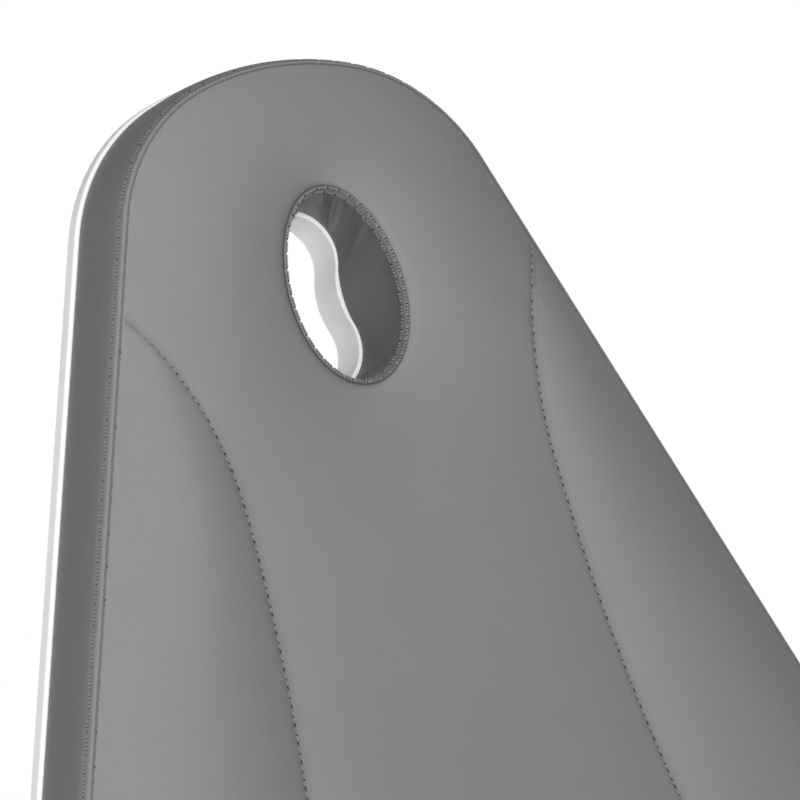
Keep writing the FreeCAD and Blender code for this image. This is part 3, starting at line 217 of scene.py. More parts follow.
class Finish(Graph):
    """A procedural material on one Principled surface."""

    def __init__(self, name):
        self.material = bpy.data.materials.new(name)
        super().__init__(self.material, "ShaderNodeOutputMaterial")
        self.surface = self.tree.nodes.new("ShaderNodeBsdfPrincipled")
        self.tree.links.new(self.surface.outputs["BSDF"], self.output.inputs["Surface"])

    def place(self):
        return self.node("ShaderNodeTexCoord", output="Object")

    def uv(self, name):
        """The two coordinates of one of the piece's own UV maps."""
        found = self.node("ShaderNodeUVMap", uv_map=name)
        return [self.node("ShaderNodeSeparateXYZ", {0: found}, output=axis) for axis in (0, 1)]

    def stretched(self, scale):
        """Object coordinates, stretched by a scale along each axis."""
        return self.node("ShaderNodeMapping", {"Vector": self.place(), "Scale": scale})

    def noise(self, scale, detail=2.0, roughness=0.5, vector=None):
        return self.node("ShaderNodeTexNoise", {
            "Vector": vector or self.place(), "Scale": scale, "Detail": detail,
            "Roughness": roughness})

    def cells(self, scale, feature="F1"):
        return self.node("ShaderNodeTexVoronoi", {"Vector": self.place(), "Scale": scale},
                         feature=feature)

    def mix(self, share, first, second):
        """Colours mixed by a share."""
        return self.node("ShaderNodeMix", {0: share, 6: first, 7: second}, output=2,
                         data_type="RGBA")

    def shade(self, colour, factor):
        """A colour made lighter or darker by a factor that varies."""
        return self.node("ShaderNodeVectorMath", {0: colour, 3: factor}, operation="SCALE")

    def colour(self, value):
        self.feed(self.surface.inputs["Base Color"], value)

    def rough(self, value):
        self.feed(self.surface.inputs["Roughness"], value)

    def bump(self, height, distance, strength):
        self.feed(self.surface.inputs["Normal"], self.node("ShaderNodeBump", {
            "Height": height, "Distance": distance, "Strength": strength}))

    def fixed(self, name, value):
        """A plain number on one of the surface's own sockets."""
        self.surface.inputs[name].default_value = value

    def coat(self, base, share, shades, rough, relief):
        """Two shades of a base mixed by a share, a roughness, and the relief's bump."""
        self.colour(self.mix(share, *(shade_of(base, factor) for factor in shades)))
        self.rough(self.ramp(*rough))
        self.bump(*relief)
        return self.material


def colours():
    return bpy.context.scene.spa_colours


def sizes():
    return bpy.context.scene.spa_upholstery


def shade_of(value, factor):
    return (*(channel * factor for channel in value[:3]), 1)


def facing(way):
    """The turn that points a lamp or a camera along a way."""
    return way.to_track_quat("-Z", "Y").to_euler()


# The edge joint's small waves.
SCALLOP_PITCH, SCALLOP_DEPTH = 0.0041, 0.00020


def joint_and_painted_seam_shade(finish):
    """How dark the seams are: the edge joint's own dark line, plus painted shade in the gaps between bolster
    stitches and in the creases beside them.
    """
    along, across = finish.uv("edge")
    scallop = (along * (2 * math.pi / SCALLOP_PITCH)).math("SINE") * SCALLOP_DEPTH
    joint = finish.ramp(abs(across + scallop), 0.0004, 0.0012, 1.0, 0.0)
    channel_along, channel_across = finish.uv("channel")
    dash = (channel_along % sizes().bolster_pitch) > sizes().bolster_pitch * 0.48
    # Painted shade: dark dashes in the gaps between the bolster stitches, where shade falls.
    gap = finish.ramp(abs(channel_across), 0.0003, 0.0012, 1.0, 0.0) * (dash * 0.72 + 0.28)
    # Painted shade: a soft dark band in the crease along each bolster seam.
    painted_crease_shade = finish.ramp(abs(channel_across), 0.0, 0.006, 1.0, 0.0)
    return (joint * 0.88 + gap * 0.84 + painted_crease_shade * 0.30).math("MINIMUM", 0.9)


def vinyl_finish(sewn=True, shade=1.0):
    """Grey synthetic leather with a fine pebble grain. When sewn it has the dark lines of its seam joints and
    painted shade in the seam creases and stitch gaps; a shade factor below one paints a shaded copy, above one a
    lit copy.
    """
    finish = Finish("grey vinyl, sewn" if sewn else "grey vinyl")
    base = shade_of(colours().vinyl, shade)
    cloud = finish.noise(7.0, 3.0)
    patch = finish.noise(38.0)
    tone = finish.mix(finish.ramp(cloud + patch * 0.35, 0.45, 0.95),
                      shade_of(base, 0.955), shade_of(base, 1.035))
    if sewn:
        # The seam joints' dark lines and the painted crease and stitch-gap shade darken the tone here.
        tone = finish.mix(joint_and_painted_seam_shade(finish), tone, shade_of(base, 0.16))
    grain = finish.cells(1150.0)
    crackle = finish.cells(620.0, "DISTANCE_TO_EDGE")
    finish.colour(finish.shade(tone, finish.ramp(crackle, 0.0, 0.30, 0.93, 1.04)))
    pores = finish.noise(2600.0, 1.0)
    relief = grain * 0.5 + finish.ramp(crackle, 0.0, 0.12) * 0.5 + pores * 0.25
    finish.rough(finish.ramp(relief + cloud, 0.6, 1.7, 0.44, 0.35))
    finish.bump(relief, 0.00012, 0.55)
    finish.fixed("Specular IOR Level", 0.75)
    return finish.material


def stitch_shadow_finish():
    """Painted shadow: the near-black of the beads set between the stitches, where only shade falls."""
    finish = Finish("needle holes")
    grain = finish.noise(900.0)
    finish.colour(finish.mix(grain, shade_of(colours().hole, 0.7), shade_of(colours().hole, 1.3)))
    finish.rough(finish.ramp(grain, 0.2, 0.8, 0.75, 0.9))
    return finish.material


def thread_finish():
    finish = Finish("sewing thread")
    twist = finish.node("ShaderNodeTexWave", {"Vector": finish.place(), "Scale": 900.0,
                                              "Distortion": 1.5})
    return finish.coat(colours().thread, twist, (0.72, 1.2), (twist, 0.0, 1.0, 0.62, 0.48),
                       (twist, 0.0002, 0.6))


def lacquer_finish(base, texture):
    """Sprayed lacquer with a trace of orange peel."""
    finish = Finish("lacquer")
    cloud, peel = finish.noise(5.0, 3.0), finish.noise(texture)
    return finish.coat(base, finish.ramp(cloud, 0.3, 0.7), (0.975, 1.01),
                       (cloud + peel, 0.7, 1.3, 0.30, 0.40), (peel, 0.0002, 0.25))


def laminate_finish(base):
    finish = Finish("laminate")
    speckle, cloud = finish.noise(420.0, 4.0, 0.7), finish.noise(9.0)
    return finish.coat(base, finish.ramp(speckle, 0.35, 0.65), (0.9, 1.08),
                       (cloud + speckle, 0.7, 1.3, 0.52, 0.64), (speckle, 0.0002, 0.3))


def powder_coat_finish(base):
    finish = Finish("powder coat")
    peel, cloud = finish.noise(900.0), finish.noise(12.0)
    return finish.coat(base, finish.ramp(cloud, 0.3, 0.7), (0.96, 1.02),
                       (peel, 0.3, 0.7, 0.42, 0.54), (peel, 0.0003, 0.45))


def brushed_finish(base, grain, rough):
    """Metal with fine lines along the smallest stretch of its grain."""
    finish = Finish("brushed metal")
    lines = finish.noise(1.0, 3.0, 0.6, finish.stretched(grain))
    cloud = finish.noise(14.0)
    finish.fixed("Metallic", 1.0)
    return finish.coat(base, finish.ramp(lines, 0.3, 0.7), (0.88, 1.06),
                       (lines + cloud * 0.4, 0.4, 1.0, rough - 0.06, rough + 0.08),
                       (lines, 0.00008, 0.5))


def plated_finish(base, rough):
    finish = Finish("plated metal")
    spangle, cloud = finish.cells(160.0), finish.noise(30.0, 3.0)
    finish.fixed("Metallic", 1.0)
    return finish.coat(base, finish.ramp(spangle + cloud, 0.5, 1.2), (0.86, 1.05),
                       (cloud, 0.3, 0.7, rough - 0.05, rough + 0.08), (cloud, 0.0001, 0.2))


def moulded_finish(base, grain, rough):
    """Moulded plastic with a spark-eroded texture."""
    finish = Finish("moulded plastic")
    texture, cloud = finish.noise(grain, 3.0, 0.6), finish.noise(20.0)
    return finish.coat(base, finish.ramp(cloud, 0.3, 0.7), (0.9, 1.12),
                       (texture, 0.3, 0.7, rough - 0.06, rough + 0.06), (texture, 0.0002, 0.4))


# Sewn lines

def plan_tree(spots):
    """Finds the nearest of some places in plan."""
    tree = KDTree(len(spots))
    for number, spot in enumerate(spots):
        tree.insert((spot[0], spot[1], 0), number)
    tree.balance()
    return tree

def arc(centre_x, centre_y, radius, start, end, step=0.002):
    """Points of an arc in plan."""
    count = max(2, int(abs(end - start) * radius / step) + 1)
    angles = np.linspace(start, end, count)
    return np.column_stack((centre_x + radius * np.cos(angles),
                            centre_y + radius * np.sin(angles)))


class SewnLine:
    """A line in plan with even points, its directions, and its sides.

    Across is positive to the right of the line's direction."""

    def __init__(self, points, closed, step):
        loop = np.vstack((points, points[:1])) if closed else points
        lengths = np.hypot(*np.diff(loop, axis=0).T)
        keep = np.concatenate(([True], lengths > 1e-7))
        loop = loop[keep]
        travelled = np.concatenate(([0], np.cumsum(lengths[lengths > 1e-7])))
        self.closed = closed
        self.length = travelled[-1]
        count = int(round(self.length / step))
        self.along = np.linspace(0, self.length, count + 1)
        if closed:
            self.along = self.along[:-1]
        self.points = self.at(loop, travelled, self.along)
        nudge = step / 2
        ahead = self.at(loop, travelled, self.along + nudge)
        behind = self.at(loop, travelled, self.along - nudge)
        way = ahead - behind
        self.ways = way / np.linalg.norm(way, axis=1)[:, None]
        self.sides = np.column_stack((self.ways[:, 1], -self.ways[:, 0]))
        self.tree = plan_tree(self.points)

    def at(self, loop, travelled, along):
        reach = along % self.length if self.closed else np.clip(along, 0, self.length)
        return np.column_stack([np.interp(reach, travelled, loop[:, axis]) for axis in (0, 1)])

    def measure(self, places):
        """How far along the line and how far across it each place lies."""
        near = np.array([self.tree.find((x, y, 0))[1] for x, y in places])
        away = places - self.points[near]
        beyond = np.einsum("ij,ij->i", away, self.ways[near])
        across = np.einsum("ij,ij->i", away, self.sides[near])
        if not self.closed:
            past = (near == 0) & (beyond < 0) | (near == len(self.points) - 1) & (beyond > 0)
            side = np.where(across < 0, -1.0, 1.0)
            across = np.where(past, side * np.linalg.norm(away, axis=1), across)
        return self.along[near] + beyond, across


def back_outline(inset):
    """Right half's arcs of the backrest, from the hinge end's corner to the crest."""
    size = sizes()
    half = BED_WIDTH / 2
    corner, side, shoulder = size.corner_round, size.head_side_round, size.shoulder_round
    crest = math.pi / 2 - size.head_round_angle
    top_y = size.back_length - size.head_round
    side_x = (size.head_round - side) * math.cos(crest)
    side_y = top_y + (size.head_round - side) * math.sin(crest)
    shoulder_y = size.shoulder_reach
    rise, lean = side_y - shoulder_y, side_x - (half - shoulder)
    flare = math.atan2(rise, lean) - math.acos((shoulder - side) / math.hypot(rise, lean))
    return [
        arc(half - corner, corner, corner - inset, -math.pi / 2, 0),
        arc(half - shoulder, shoulder_y, shoulder - inset, 0, flare),
        arc(side_x, side_y, side - inset, flare, crest),
        arc(0, top_y, size.head_round - inset, crest, math.pi / 2),
    ]


def seat_outline(inset):
    corner, half = sizes().corner_round, BED_WIDTH / 2
    length = SEAT_HIGH.y - SEAT_LOW.y
    return [
        arc(half - corner, corner, corner - inset, -math.pi / 2, 0),
        arc(half - corner, length - corner, corner - inset, 0, math.pi / 2),
    ]


def leg_outline(inset):
    size = sizes()
    corner, foot, taper, half = size.corner_round, size.foot_round, size.foot_taper, BED_WIDTH / 2
    length = LEG_HIGH.y - LEG_LOW.y
    reach = (half - corner) * math.cos(taper) + corner * math.sin(taper) + corner
    foot_y = length - foot
    foot_x = (reach - foot - foot_y * math.sin(taper)) / math.cos(taper)
    return [
        arc(half - corner, corner, corner - inset, -math.pi / 2, taper),
        arc(foot_x, foot_y, foot - inset, taper, math.pi / 2),
    ]


def around(right_half):
    """The closed outline from its right half's arcs."""
    right = np.vstack(right_half)
    left = right[::-1] * (-1, 1)
    return np.vstack((right, left))


def filled(points, step):
    """The points with straight gaps filled in."""
    out = [points[:1]]
    for first, second in zip(points[:-1], points[1:]):
        count = max(1, int(np.linalg.norm(second - first) / step))
        shares = np.linspace(0, 1, count + 1)[1:, None]
        out.append(first + (second - first) * shares)
    return np.vstack(out)


def face_curve(grow, step=0.002):
    """The face opening's rim: an egg, a little narrower towards the crest."""
    size = sizes()
    count = int(math.pi * (size.face_width + size.face_length) / 2 / step)
    angles = np.linspace(0, 2 * math.pi, count, endpoint=False)
    half_width = (size.face_width / 2 + grow) * (1 - 0.05 * np.sin(angles))
    half_length = size.face_length / 2 + grow
    return np.column_stack((half_width * np.cos(angles),
                            size.face_reach + half_length * np.sin(angles)))


def board_hole_at(turns):
    """Places round the board's opening, two round lobes with a waist, as seen from its middle."""
    lobe, reach, waist_round, clear = 0.036, 0.036, 0.060, 0.0034
    waist_x = math.sqrt((lobe + waist_round) ** 2 - reach ** 2)
    lean = math.atan2(reach, waist_x)
    right = np.vstack((
        arc(0, -reach, lobe, -math.pi / 2, lean, 0.0005),
        arc(waist_x, 0, waist_round, math.pi + lean, math.pi - lean, 0.0005),
        arc(0, reach, lobe, -lean, math.pi / 2, 0.0005)))
    loop = np.vstack((right, right[::-1] * (-1, 1)))
    seen = np.arctan2(loop[:, 1], loop[:, 0])
    order = np.argsort(seen)
    far = np.hypot(loop[:, 0], loop[:, 1])[order]
    away = np.interp(turns, seen[order], far, period=2 * math.pi) + clear
    return np.column_stack((away * np.cos(turns), sizes().face_reach + away * np.sin(turns)))


def back_channel():
    """The backrest's right bolster seam, from the edge down to the hinge end."""
    size = sizes()
    low = math.asin(size.waist_reach / size.waist_round)
    high = math.asin((size.top_reach - size.waist_reach) / size.top_round)
    upper = arc(size.waist + size.top_round, size.waist_reach, size.top_round,
                math.pi - high, math.pi)
    lower = arc(size.waist + size.waist_round, size.waist_reach, size.waist_round,
                math.pi, math.pi + low)
    return np.vstack((upper, lower[1:]))


def straight_channel(length):
    """A right bolster seam that carries on from the backrest's hinge end."""
    size = sizes()
    spread = size.waist_round - math.sqrt(size.waist_round ** 2 - size.waist_reach ** 2)
    x = size.waist + spread
    return filled(np.array(((x, length), (x, 0.0))), 0.002)


# Cushions

# The side wall's line up to the seam, as inset from the board's edge and height.
UNDERSIDE = -0.0846
WALL_LINE = (
    (0.0040, UNDERSIDE), (0.0031, -0.0842), (0.0027, -0.0832), (0.0026, -0.0815),
    (0.0025, -0.0700), (0.0025, -0.0580), (0.0028, -0.0480), (0.0033, -0.0410),
    (0.0040, -0.0355), (0.0049, -0.0310), (0.0058, -0.0278), (0.0066, -0.0258),
    (0.0071, -0.0249), (0.0075, -0.0239), (0.0082, -0.0222), (0.0091, -0.0207),
    (0.0101, -0.0197), (0.0110, -0.0195), (0.0116, -0.0199),
)
# The topstitching's place on that line, and which way is outward there.
STITCH_STATION = (0.0074, -0.0241)
STITCH_UP = (0.85, 0.53)
LINE_STEP = 0.0028
# Where a cover keeps still while it settles, by distance from a seam and by height.
HELD_BESIDE_SEAM, HELD_BESIDE_RIM, HELD_INSIDE_EDGE = 0.004, 0.010, 0.003
HELD_UPPER_WALL, HELD_LOWER_WALL = -0.034, -0.078
# Below this no seam joint or painted seam shade is drawn, and this stands for a place far from any seam.
LOW_WALL, NO_SEAM = -0.06, 0.5
# Rows of points beside each seam, by their distance from it.
ROW_STEPS = (0.0009, 0.0022, 0.0042, 0.0072, 0.0112, 0.0162)
# The crown's curve, the width over which the seams fade in from the edge, and its curve.
CROWN_POWER, SEAM_FADE, FADE_POWER = 2.5, 0.05, 0.8
# How deep and how wide the face opening's rim is drawn in.
RIM_DIPS = ((0.0030, 0.010), (0.0058, 0.055))


class PointBed:
    """Points in plan that keep their distance from one another."""

    def __init__(self, cell=0.002):
        self.cell = cell
        self.cells = {}
        self.points = []

    def key(self, point):
        return tuple(math.floor(value / self.cell) for value in point)

    def is_free(self, point, gap):
        reach = math.ceil(gap / self.cell)
        column, row = self.key(point)
        for i in range(column - reach, column + reach + 1):
            for j in range(row - reach, row + reach + 1):
                for x, y in self.cells.get((i, j), ()):
                    if (x - point[0]) ** 2 + (y - point[1]) ** 2 < gap * gap:
                        return False
        return True

    def add(self, point, gap):
        if not self.is_free(point, gap):
            return None
        self.cells.setdefault(self.key(point), []).append(tuple(point))
        self.points.append((float(point[0]), float(point[1])))
        return len(self.points) - 1

class Section:
    """One upholstered section in its own level plan."""

    def __init__(self, node, outline, place, channel, opening=False):
        self.node = node
        self.place = place
        edge = filled(around(outline(sizes().seam_inset)), 0.002)
        edge = np.vstack((edge, filled(np.vstack((edge[-1:], edge[:1])), 0.002)[1:-1]))
        self.edge = SewnLine(edge, True, LINE_STEP)
        self.channels = [SewnLine(channel * (side, 1), False, LINE_STEP) for side in (1, -1)]
        self.hole = SewnLine(face_curve(0.0014), True, LINE_STEP) if opening else None

    def channel_places(self, places):
        """Along and across the nearer bolster seam; across is positive to the middle."""
        right = places[:, 0] > 0
        found = np.zeros((2, len(places)))
        for line, chosen, way in zip(self.channels, (right, ~right), (1, -1)):
            if chosen.any():
                along, across = line.measure(places[chosen])
                found[:, chosen] = along, across * way
        return found

    def heights(self, places):
        """The top's height before it is filled."""
        size = sizes()
        edge_across = self.edge.measure(places)[1]
        inward = np.clip(-edge_across / size.crown_width, 0, 1)
        crown = (size.crown_drop + size.crown_lift) * (1 - inward) ** CROWN_POWER - size.crown_lift
        across = self.channel_places(places)[1]
        inner = across > 0
        reach = np.where(inner, size.valley_inner, size.valley_outer)
        level = np.where(inner, size.panel_drop, 0.0)
        pull = np.clip(1 - abs(across) / reach, 0, 1) ** 2
        fade = np.clip(-edge_across / SEAM_FADE, 0, 1) ** FADE_POWER
        height = -crown - (level + (size.valley_depth - level) * pull) * fade
        if self.hole:
            rim = self.hole.measure(places)[1]
            for depth, width in RIM_DIPS:
                height -= depth * np.clip(1 - abs(rim) / width, 0, 1) ** 2
        return height

    def top_points(self):
        """Points in plan for the top: rows along each seam, then an even grid."""
        bed = PointBed()
        joins = []
        for line in [self.edge] + [self.hole] * bool(self.hole):
            run = [bed.add(point, 0.0) for point in line.points]
            joins += [(run[n - 1], run[n]) for n in range(len(run))]
        for line in self.channels:
            run = []
            for point in line.points:
                inside = self.edge.measure(point[None])[1][0] < -0.0012
                run.append(bed.add(point, 0.0011) if inside else None)
            joins += [pair for pair in zip(run[:-1], run[1:]) if None not in pair]
        rows = [(self.edge, -1)] + [(line, way) for line in self.channels for way in (1, -1)]
        rows += [(self.hole, 1)] * bool(self.hole)
        for step in ROW_STEPS:
            for line, way in rows:
                self.add_inside(bed, line.points + line.sides * (step * way),
                                0.0008 + 0.25 * step)
        step = sizes().grid_step
        low, high = self.edge.points.min(0), self.edge.points.max(0)
        for row, y in enumerate(np.arange(low[1], high[1], step * 0.87)):
            xs = np.arange(0, high[0] + step, step) + (row % 2) * step / 2
            xs = np.unique(np.concatenate((-xs, xs)))
            self.add_inside(bed, np.column_stack((xs, np.full(len(xs), y))), step * 0.68)
        return bed.points, joins

    def is_kept(self, spots, margin=0.0):
        """Which places lie inside the edge and outside the opening."""
        kept = self.edge.measure(spots)[1] < -margin
        if self.hole:
            kept &= self.hole.measure(spots)[1] > margin
        return kept

    def add_inside(self, bed, spots, gap):
        for spot in spots[self.is_kept(spots, 0.0007)]:
            bed.add(spot, gap)

    def top_faces(self, points, joins):
        """Triangles of the top, without those outside it or in the opening."""
        found = delaunay_2d_cdt([Vector(point) for point in points], joins, [], 0, 1e-7)
        spots = np.array([tuple(point) for point in found[0]])
        faces = np.array(found[2])
        return spots, faces[self.is_kept(spots[faces].mean(1))]


def new_piece(name, mesh):
    piece = bpy.data.objects.new(name, mesh)
    bpy.context.scene.collection.objects.link(piece)
    return piece


def new_mesh(name, verts, faces):
    mesh = bpy.data.meshes.new(name)
    mesh.from_pydata(verts, [], faces)
    return mesh


def smooth(mesh):
    mesh.polygons.foreach_set("use_smooth", np.ones(len(mesh.polygons), bool))


def put_in_place(mesh, place):
    """Turn a level mesh to its place, with its faces still outward when that is a mirror."""
    mesh.transform(place)
    if place.determinant() < 0:
        mesh.flip_normals()


def only(*pieces):
    """Select some pieces and make the first one active."""
    bpy.ops.object.select_all(action="DESELECT")
    for piece in pieces:
        piece.select_set(True)
    bpy.context.view_layer.objects.active = pieces[0]


@contextmanager
def editing(piece):
    """Edit mode on one piece."""
    only(piece)
    bpy.ops.object.mode_set(mode="EDIT")
    yield
    bpy.ops.object.mode_set(mode="OBJECT")


def pick(mesh, kind, is_picked):
    """Select only some of a mesh's edges or polygons."""
    bpy.context.tool_settings.mesh_select_mode = (False, kind == "edges", kind == "polygons")
    for parts in (mesh.vertices, mesh.edges, mesh.polygons):
        parts.foreach_set("select", [False] * len(parts))
    for part in getattr(mesh, kind):
        part.select = is_picked(part)


def strip(rings):
    """Quads between closed rings of vertex numbers."""
    faces = []
    for low, high in zip(rings[:-1], rings[1:]):
        for n in range(len(low)):
            after = (n + 1) % len(low)
            faces.append((low[n], low[after], high[after], high[n]))
    return faces


def cushion_mesh(section, name):
    """A closed cover in level coordinates: side wall, top, opening's wall, underside."""
    spots, top = section.top_faces(*section.top_points())
    verts = [(x, y, z) for (x, y), z in zip(spots, section.heights(spots))]
    faces = [tuple(face) for face in top]
    tree = plan_tree(spots)
    seam_inset = sizes().seam_inset

    def ring(line, outward, height):
        start = len(verts)
        verts.extend((x, y, height) for x, y in line.points + line.sides * outward)
        return list(range(start, len(verts)))

    def seam(line):
        return [tree.find((x, y, 0))[1] for x, y in line.points]

    rings = [ring(section.edge, seam_inset - inset, height) for inset, height in WALL_LINE]
    faces += strip(rings + [seam(section.edge)])
    loops = [rings[0]]
    if section.hole:
        walls = [seam(section.hole)]
        walls += [ring(section.hole, 0.0, height) for height in (-0.020, -0.05, UNDERSIDE)]
        faces += strip(walls)
        loops.append(walls[-1])
    under = [number for loop in loops for number in loop]
    joins, start = [], 0
    for loop in loops:
        joins += [(start + n, start + (n + 1) % len(loop)) for n in range(len(loop))]
        start += len(loop)
    found = delaunay_2d_cdt([Vector(verts[number][:2]) for number in under], joins, [], 1, 1e-7)
    middles = np.array([[sum(found[0][n][axis] for n in face) / 3 for axis in (0, 1)]
                        for face in found[2]])
    keep = np.ones(len(middles), bool)
    if section.hole:
        keep = section.hole.measure(middles)[1] > 0
    faces += [tuple(under[found[3][n][0]] for n in face)
              for face, kept in zip(found[2], keep) if kept]
    mesh = new_mesh(name, verts, faces)
    shell = bmesh.new()
    shell.from_mesh(mesh)
    bmesh.ops.remove_doubles(shell, verts=shell.verts, dist=1e-6)
    bmesh.ops.recalc_face_normals(shell, faces=shell.faces)
    shell.to_mesh(mesh)
    shell.free()
    return mesh


def coordinates(mesh):
    spots = np.zeros(len(mesh.vertices) * 3)
    mesh.vertices.foreach_get("co", spots)
    return spots.reshape(-1, 3)


def settle(piece, held):
    """Fill the cover: its seams are held and the cloth between them swells."""
    size = sizes()
    group = piece.vertex_groups.new(name="held")
    for weight in (0, 1):
        group.add(np.flatnonzero(held == weight).tolist(), weight, "REPLACE")
    before = coordinates(piece.data)
    cloth = piece.modifiers.new("Filling", "CLOTH")
    settings = cloth.settings
    settings.quality = 6
    settings.mass = 0.3
    settings.tension_stiffness = settings.compression_stiffness = 25
    settings.bending_stiffness = 6
    settings.use_pressure = True
    settings.uniform_pressure_force = size.pressure
    settings.vertex_group_mass = "held"
    settings.effector_weights.gravity = 0
    cloth.collision_settings.use_collision = False
    cloth.point_cache.frame_start = 1
    cloth.point_cache.frame_end = size.settle_frames
    scene = bpy.context.scene
    for number in range(1, size.settle_frames + 1):
        scene.frame_set(number)
    settled = piece.evaluated_get(bpy.context.evaluated_depsgraph_get())
    moved = coordinates(settled.data) - before
    piece.modifiers.remove(cloth)
    piece.vertex_groups.remove(group)
    scene.frame_set(1)
    far = np.linalg.norm(moved, axis=1)[:, None]
    limit = size.settle_limit
    moved *= limit * np.tanh(far / limit) / np.maximum(far, 1e-9)
    piece.data.vertices.foreach_set("co", (before + moved).ravel())


def map_seams(mesh, section):
    """UV maps that measure along and across the edge seam and the bolster seams."""
    spots = coordinates(mesh)
    corners = np.zeros(len(mesh.loops), int)
    mesh.loops.foreach_get("vertex_index", corners)
    along, across = section.edge.measure(spots[:, :2])
    seam_height = WALL_LINE[-2][1]
    drop = np.where(across > 0, np.clip(seam_height - spots[:, 2], 0, None), 0)
    channel_along, channel_across = section.channel_places(spots[:, :2])
    channel_across = np.where(across > -0.0006, NO_SEAM, channel_across)
    maps = {"edge": (along, across + np.sign(across) * drop),
            "channel": (channel_along, channel_across)}
    for name, (first, second) in maps.items():
        second = np.where(spots[:, 2] < LOW_WALL, NO_SEAM, second)
        layer = mesh.uv_layers.new(name=name)
        layer.data.foreach_set("uv", np.column_stack((first, second))[corners].ravel())


def held_places(section, spots):
    """Which places of a cover keep still while it settles: its seams and low side wall."""
    flat, height = spots[:, :2], spots[:, 2]
    edge_across = section.edge.measure(flat)[1]
    held = abs(section.channel_places(flat)[1]) < HELD_BESIDE_SEAM
    held |= (edge_across > -HELD_INSIDE_EDGE) & (height > HELD_UPPER_WALL)
    held |= height < HELD_LOWER_WALL
    if section.hole:
        held |= abs(section.hole.measure(flat)[1]) < HELD_BESIDE_RIM
    return held


def make_cushion(section, name, body, finish):
    """Cut, fill and map one cover, and give back its level coordinates."""
    mesh = cushion_mesh(section, name)
    piece = new_piece(name, mesh)
    held = held_places(section, coordinates(mesh))
    settle(piece, held)
    map_seams(mesh, section)
    surface = coordinates(mesh)
    put_in_place(mesh, section.place)
    smooth(mesh)
    mesh.materials.append(finish)
    mesh.update()
    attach(piece, body)
    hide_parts(section.node)
    return surface


# Threads

def stitch_shape(length, thickness):
    """One stitch: a short round thread that tapers into the cover at both ends."""
    bpy.ops.object.select_all(action="DESELECT")
    bpy.ops.mesh.primitive_uv_sphere_add(segments=6, ring_count=5, radius=0.5)
    stitch = bpy.context.active_object
    with editing(stitch):
        bpy.ops.mesh.select_all(action="SELECT")
        bpy.ops.transform.rotate(value=math.pi / 2, orient_axis="Y", center_override=(0, 0, 0))
        bpy.ops.transform.resize(value=(length, thickness, thickness), center_override=(0, 0, 0))
    mesh = stitch.data.copy()
    bpy.data.objects.remove(stitch)
    return mesh


def stations(line, near, outward, height, up):
    """Places, ways and ups of the stitches in a row beside a line."""
    flat = line.points[near] + line.sides[near] * outward
    return (np.column_stack((flat, np.full(len(near), height))),
            np.column_stack((line.ways[near], np.zeros(len(near)))),
            np.column_stack((line.sides[near] * up[0], np.full(len(near), up[1]))))


def sewn_row(name, row, pitch, thickness, slant=0.0):
    """A stitch and a dark bead of painted shadow between stitches, copied along a row, each with its own up."""
    # The second, shorter shape is the bead of painted shadow in the gap between stitches.
    shapes = [coordinates(stitch_shape(pitch * 0.74, thickness)),
              coordinates(stitch_shape(pitch * 0.40, thickness * 0.95))]
    faces = [tuple(face.vertices) for face in stitch_shape(1.0, 1.0).polygons]
    verts, polygons, slots = [], [], []
    for place, way, up in zip(*row):
        side = np.cross(up, way)
        leaning = way * math.cos(slant) + side * math.sin(slant)
        turn = np.column_stack((leaning, np.cross(up, leaning), up))
        spots = (place, place + way * pitch / 2 - up * thickness * 0.12)
        for number, (shape, spot) in enumerate(zip(shapes, spots)):
            start = len(verts)
            verts.extend(map(tuple, shape @ turn.T + spot))
            polygons.extend(tuple(start + n for n in face) for face in faces)
            slots.extend([number] * len(faces))
    mesh = new_mesh(name, verts, polygons)
    smooth(mesh)
    mesh.polygons.foreach_set("material_index", slots)
    return mesh


def edge_stitches(section, name, body, finishes):
    """The topstitching that runs outside the edge seam."""
    size, line = sizes(), section.edge
    count = int(line.length / size.stitch_pitch)
    pitch = line.length / count
    near = np.searchsorted(line.along, (np.arange(count) + 0.5) * pitch) % len(line.points)
    inset, height = STITCH_STATION
    row = stations(line, near, size.seam_inset - inset, height, STITCH_UP)
    sewn_piece(name, sewn_row(name, row, pitch, size.thread), section.place, body, finishes)


def bolster_stitches(section, surface, name, body, finishes):
    """Stitches along the bolster seams, laid on the filled cover."""
    size = sizes()
    top = surface[surface[:, 2] > -0.03]
    tree = plan_tree(top)
    rows = []
    for line in section.channels:
        count = int(line.length / size.bolster_pitch)
        near = np.searchsorted(line.along, (np.arange(count) + 0.24) * size.bolster_pitch)
        near = near[near < len(line.points)]
        near = near[section.edge.measure(line.points[near])[1] < -0.004]
        for (x, y), way in zip(line.points[near], line.ways[near]):
            height = top[tree.find((x, y, 0))[1]][2]
            rows.append(((x, y, height + 0.0001), (*way, 0), (0, 0, 1)))
    row = [np.array(column, float) for column in zip(*rows)]
    mesh = sewn_row(name, row, size.bolster_pitch, size.thread, 0.16)
    sewn_piece(name, mesh, section.place, body, finishes)


def sewn_piece(name, mesh, place, body, finishes):
    put_in_place(mesh, place)
    for finish in finishes:
        mesh.materials.append(finish)
    piece = new_piece(name, mesh)
    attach(piece, body)


# Face opening

# The rim band's line from the top into the opening: outward from the rim, and height.
RIM_LINE = (
    (0.0024, -0.0096), (0.0016, -0.0076), (0.0008, -0.0070), (-0.0001, -0.0074),
    (-0.0008, -0.0086), (-0.0013, -0.0102), (-0.0017, -0.0120), (-0.0018, -0.0136),
    (-0.0013, -0.0146), (-0.0003, -0.0152),
)
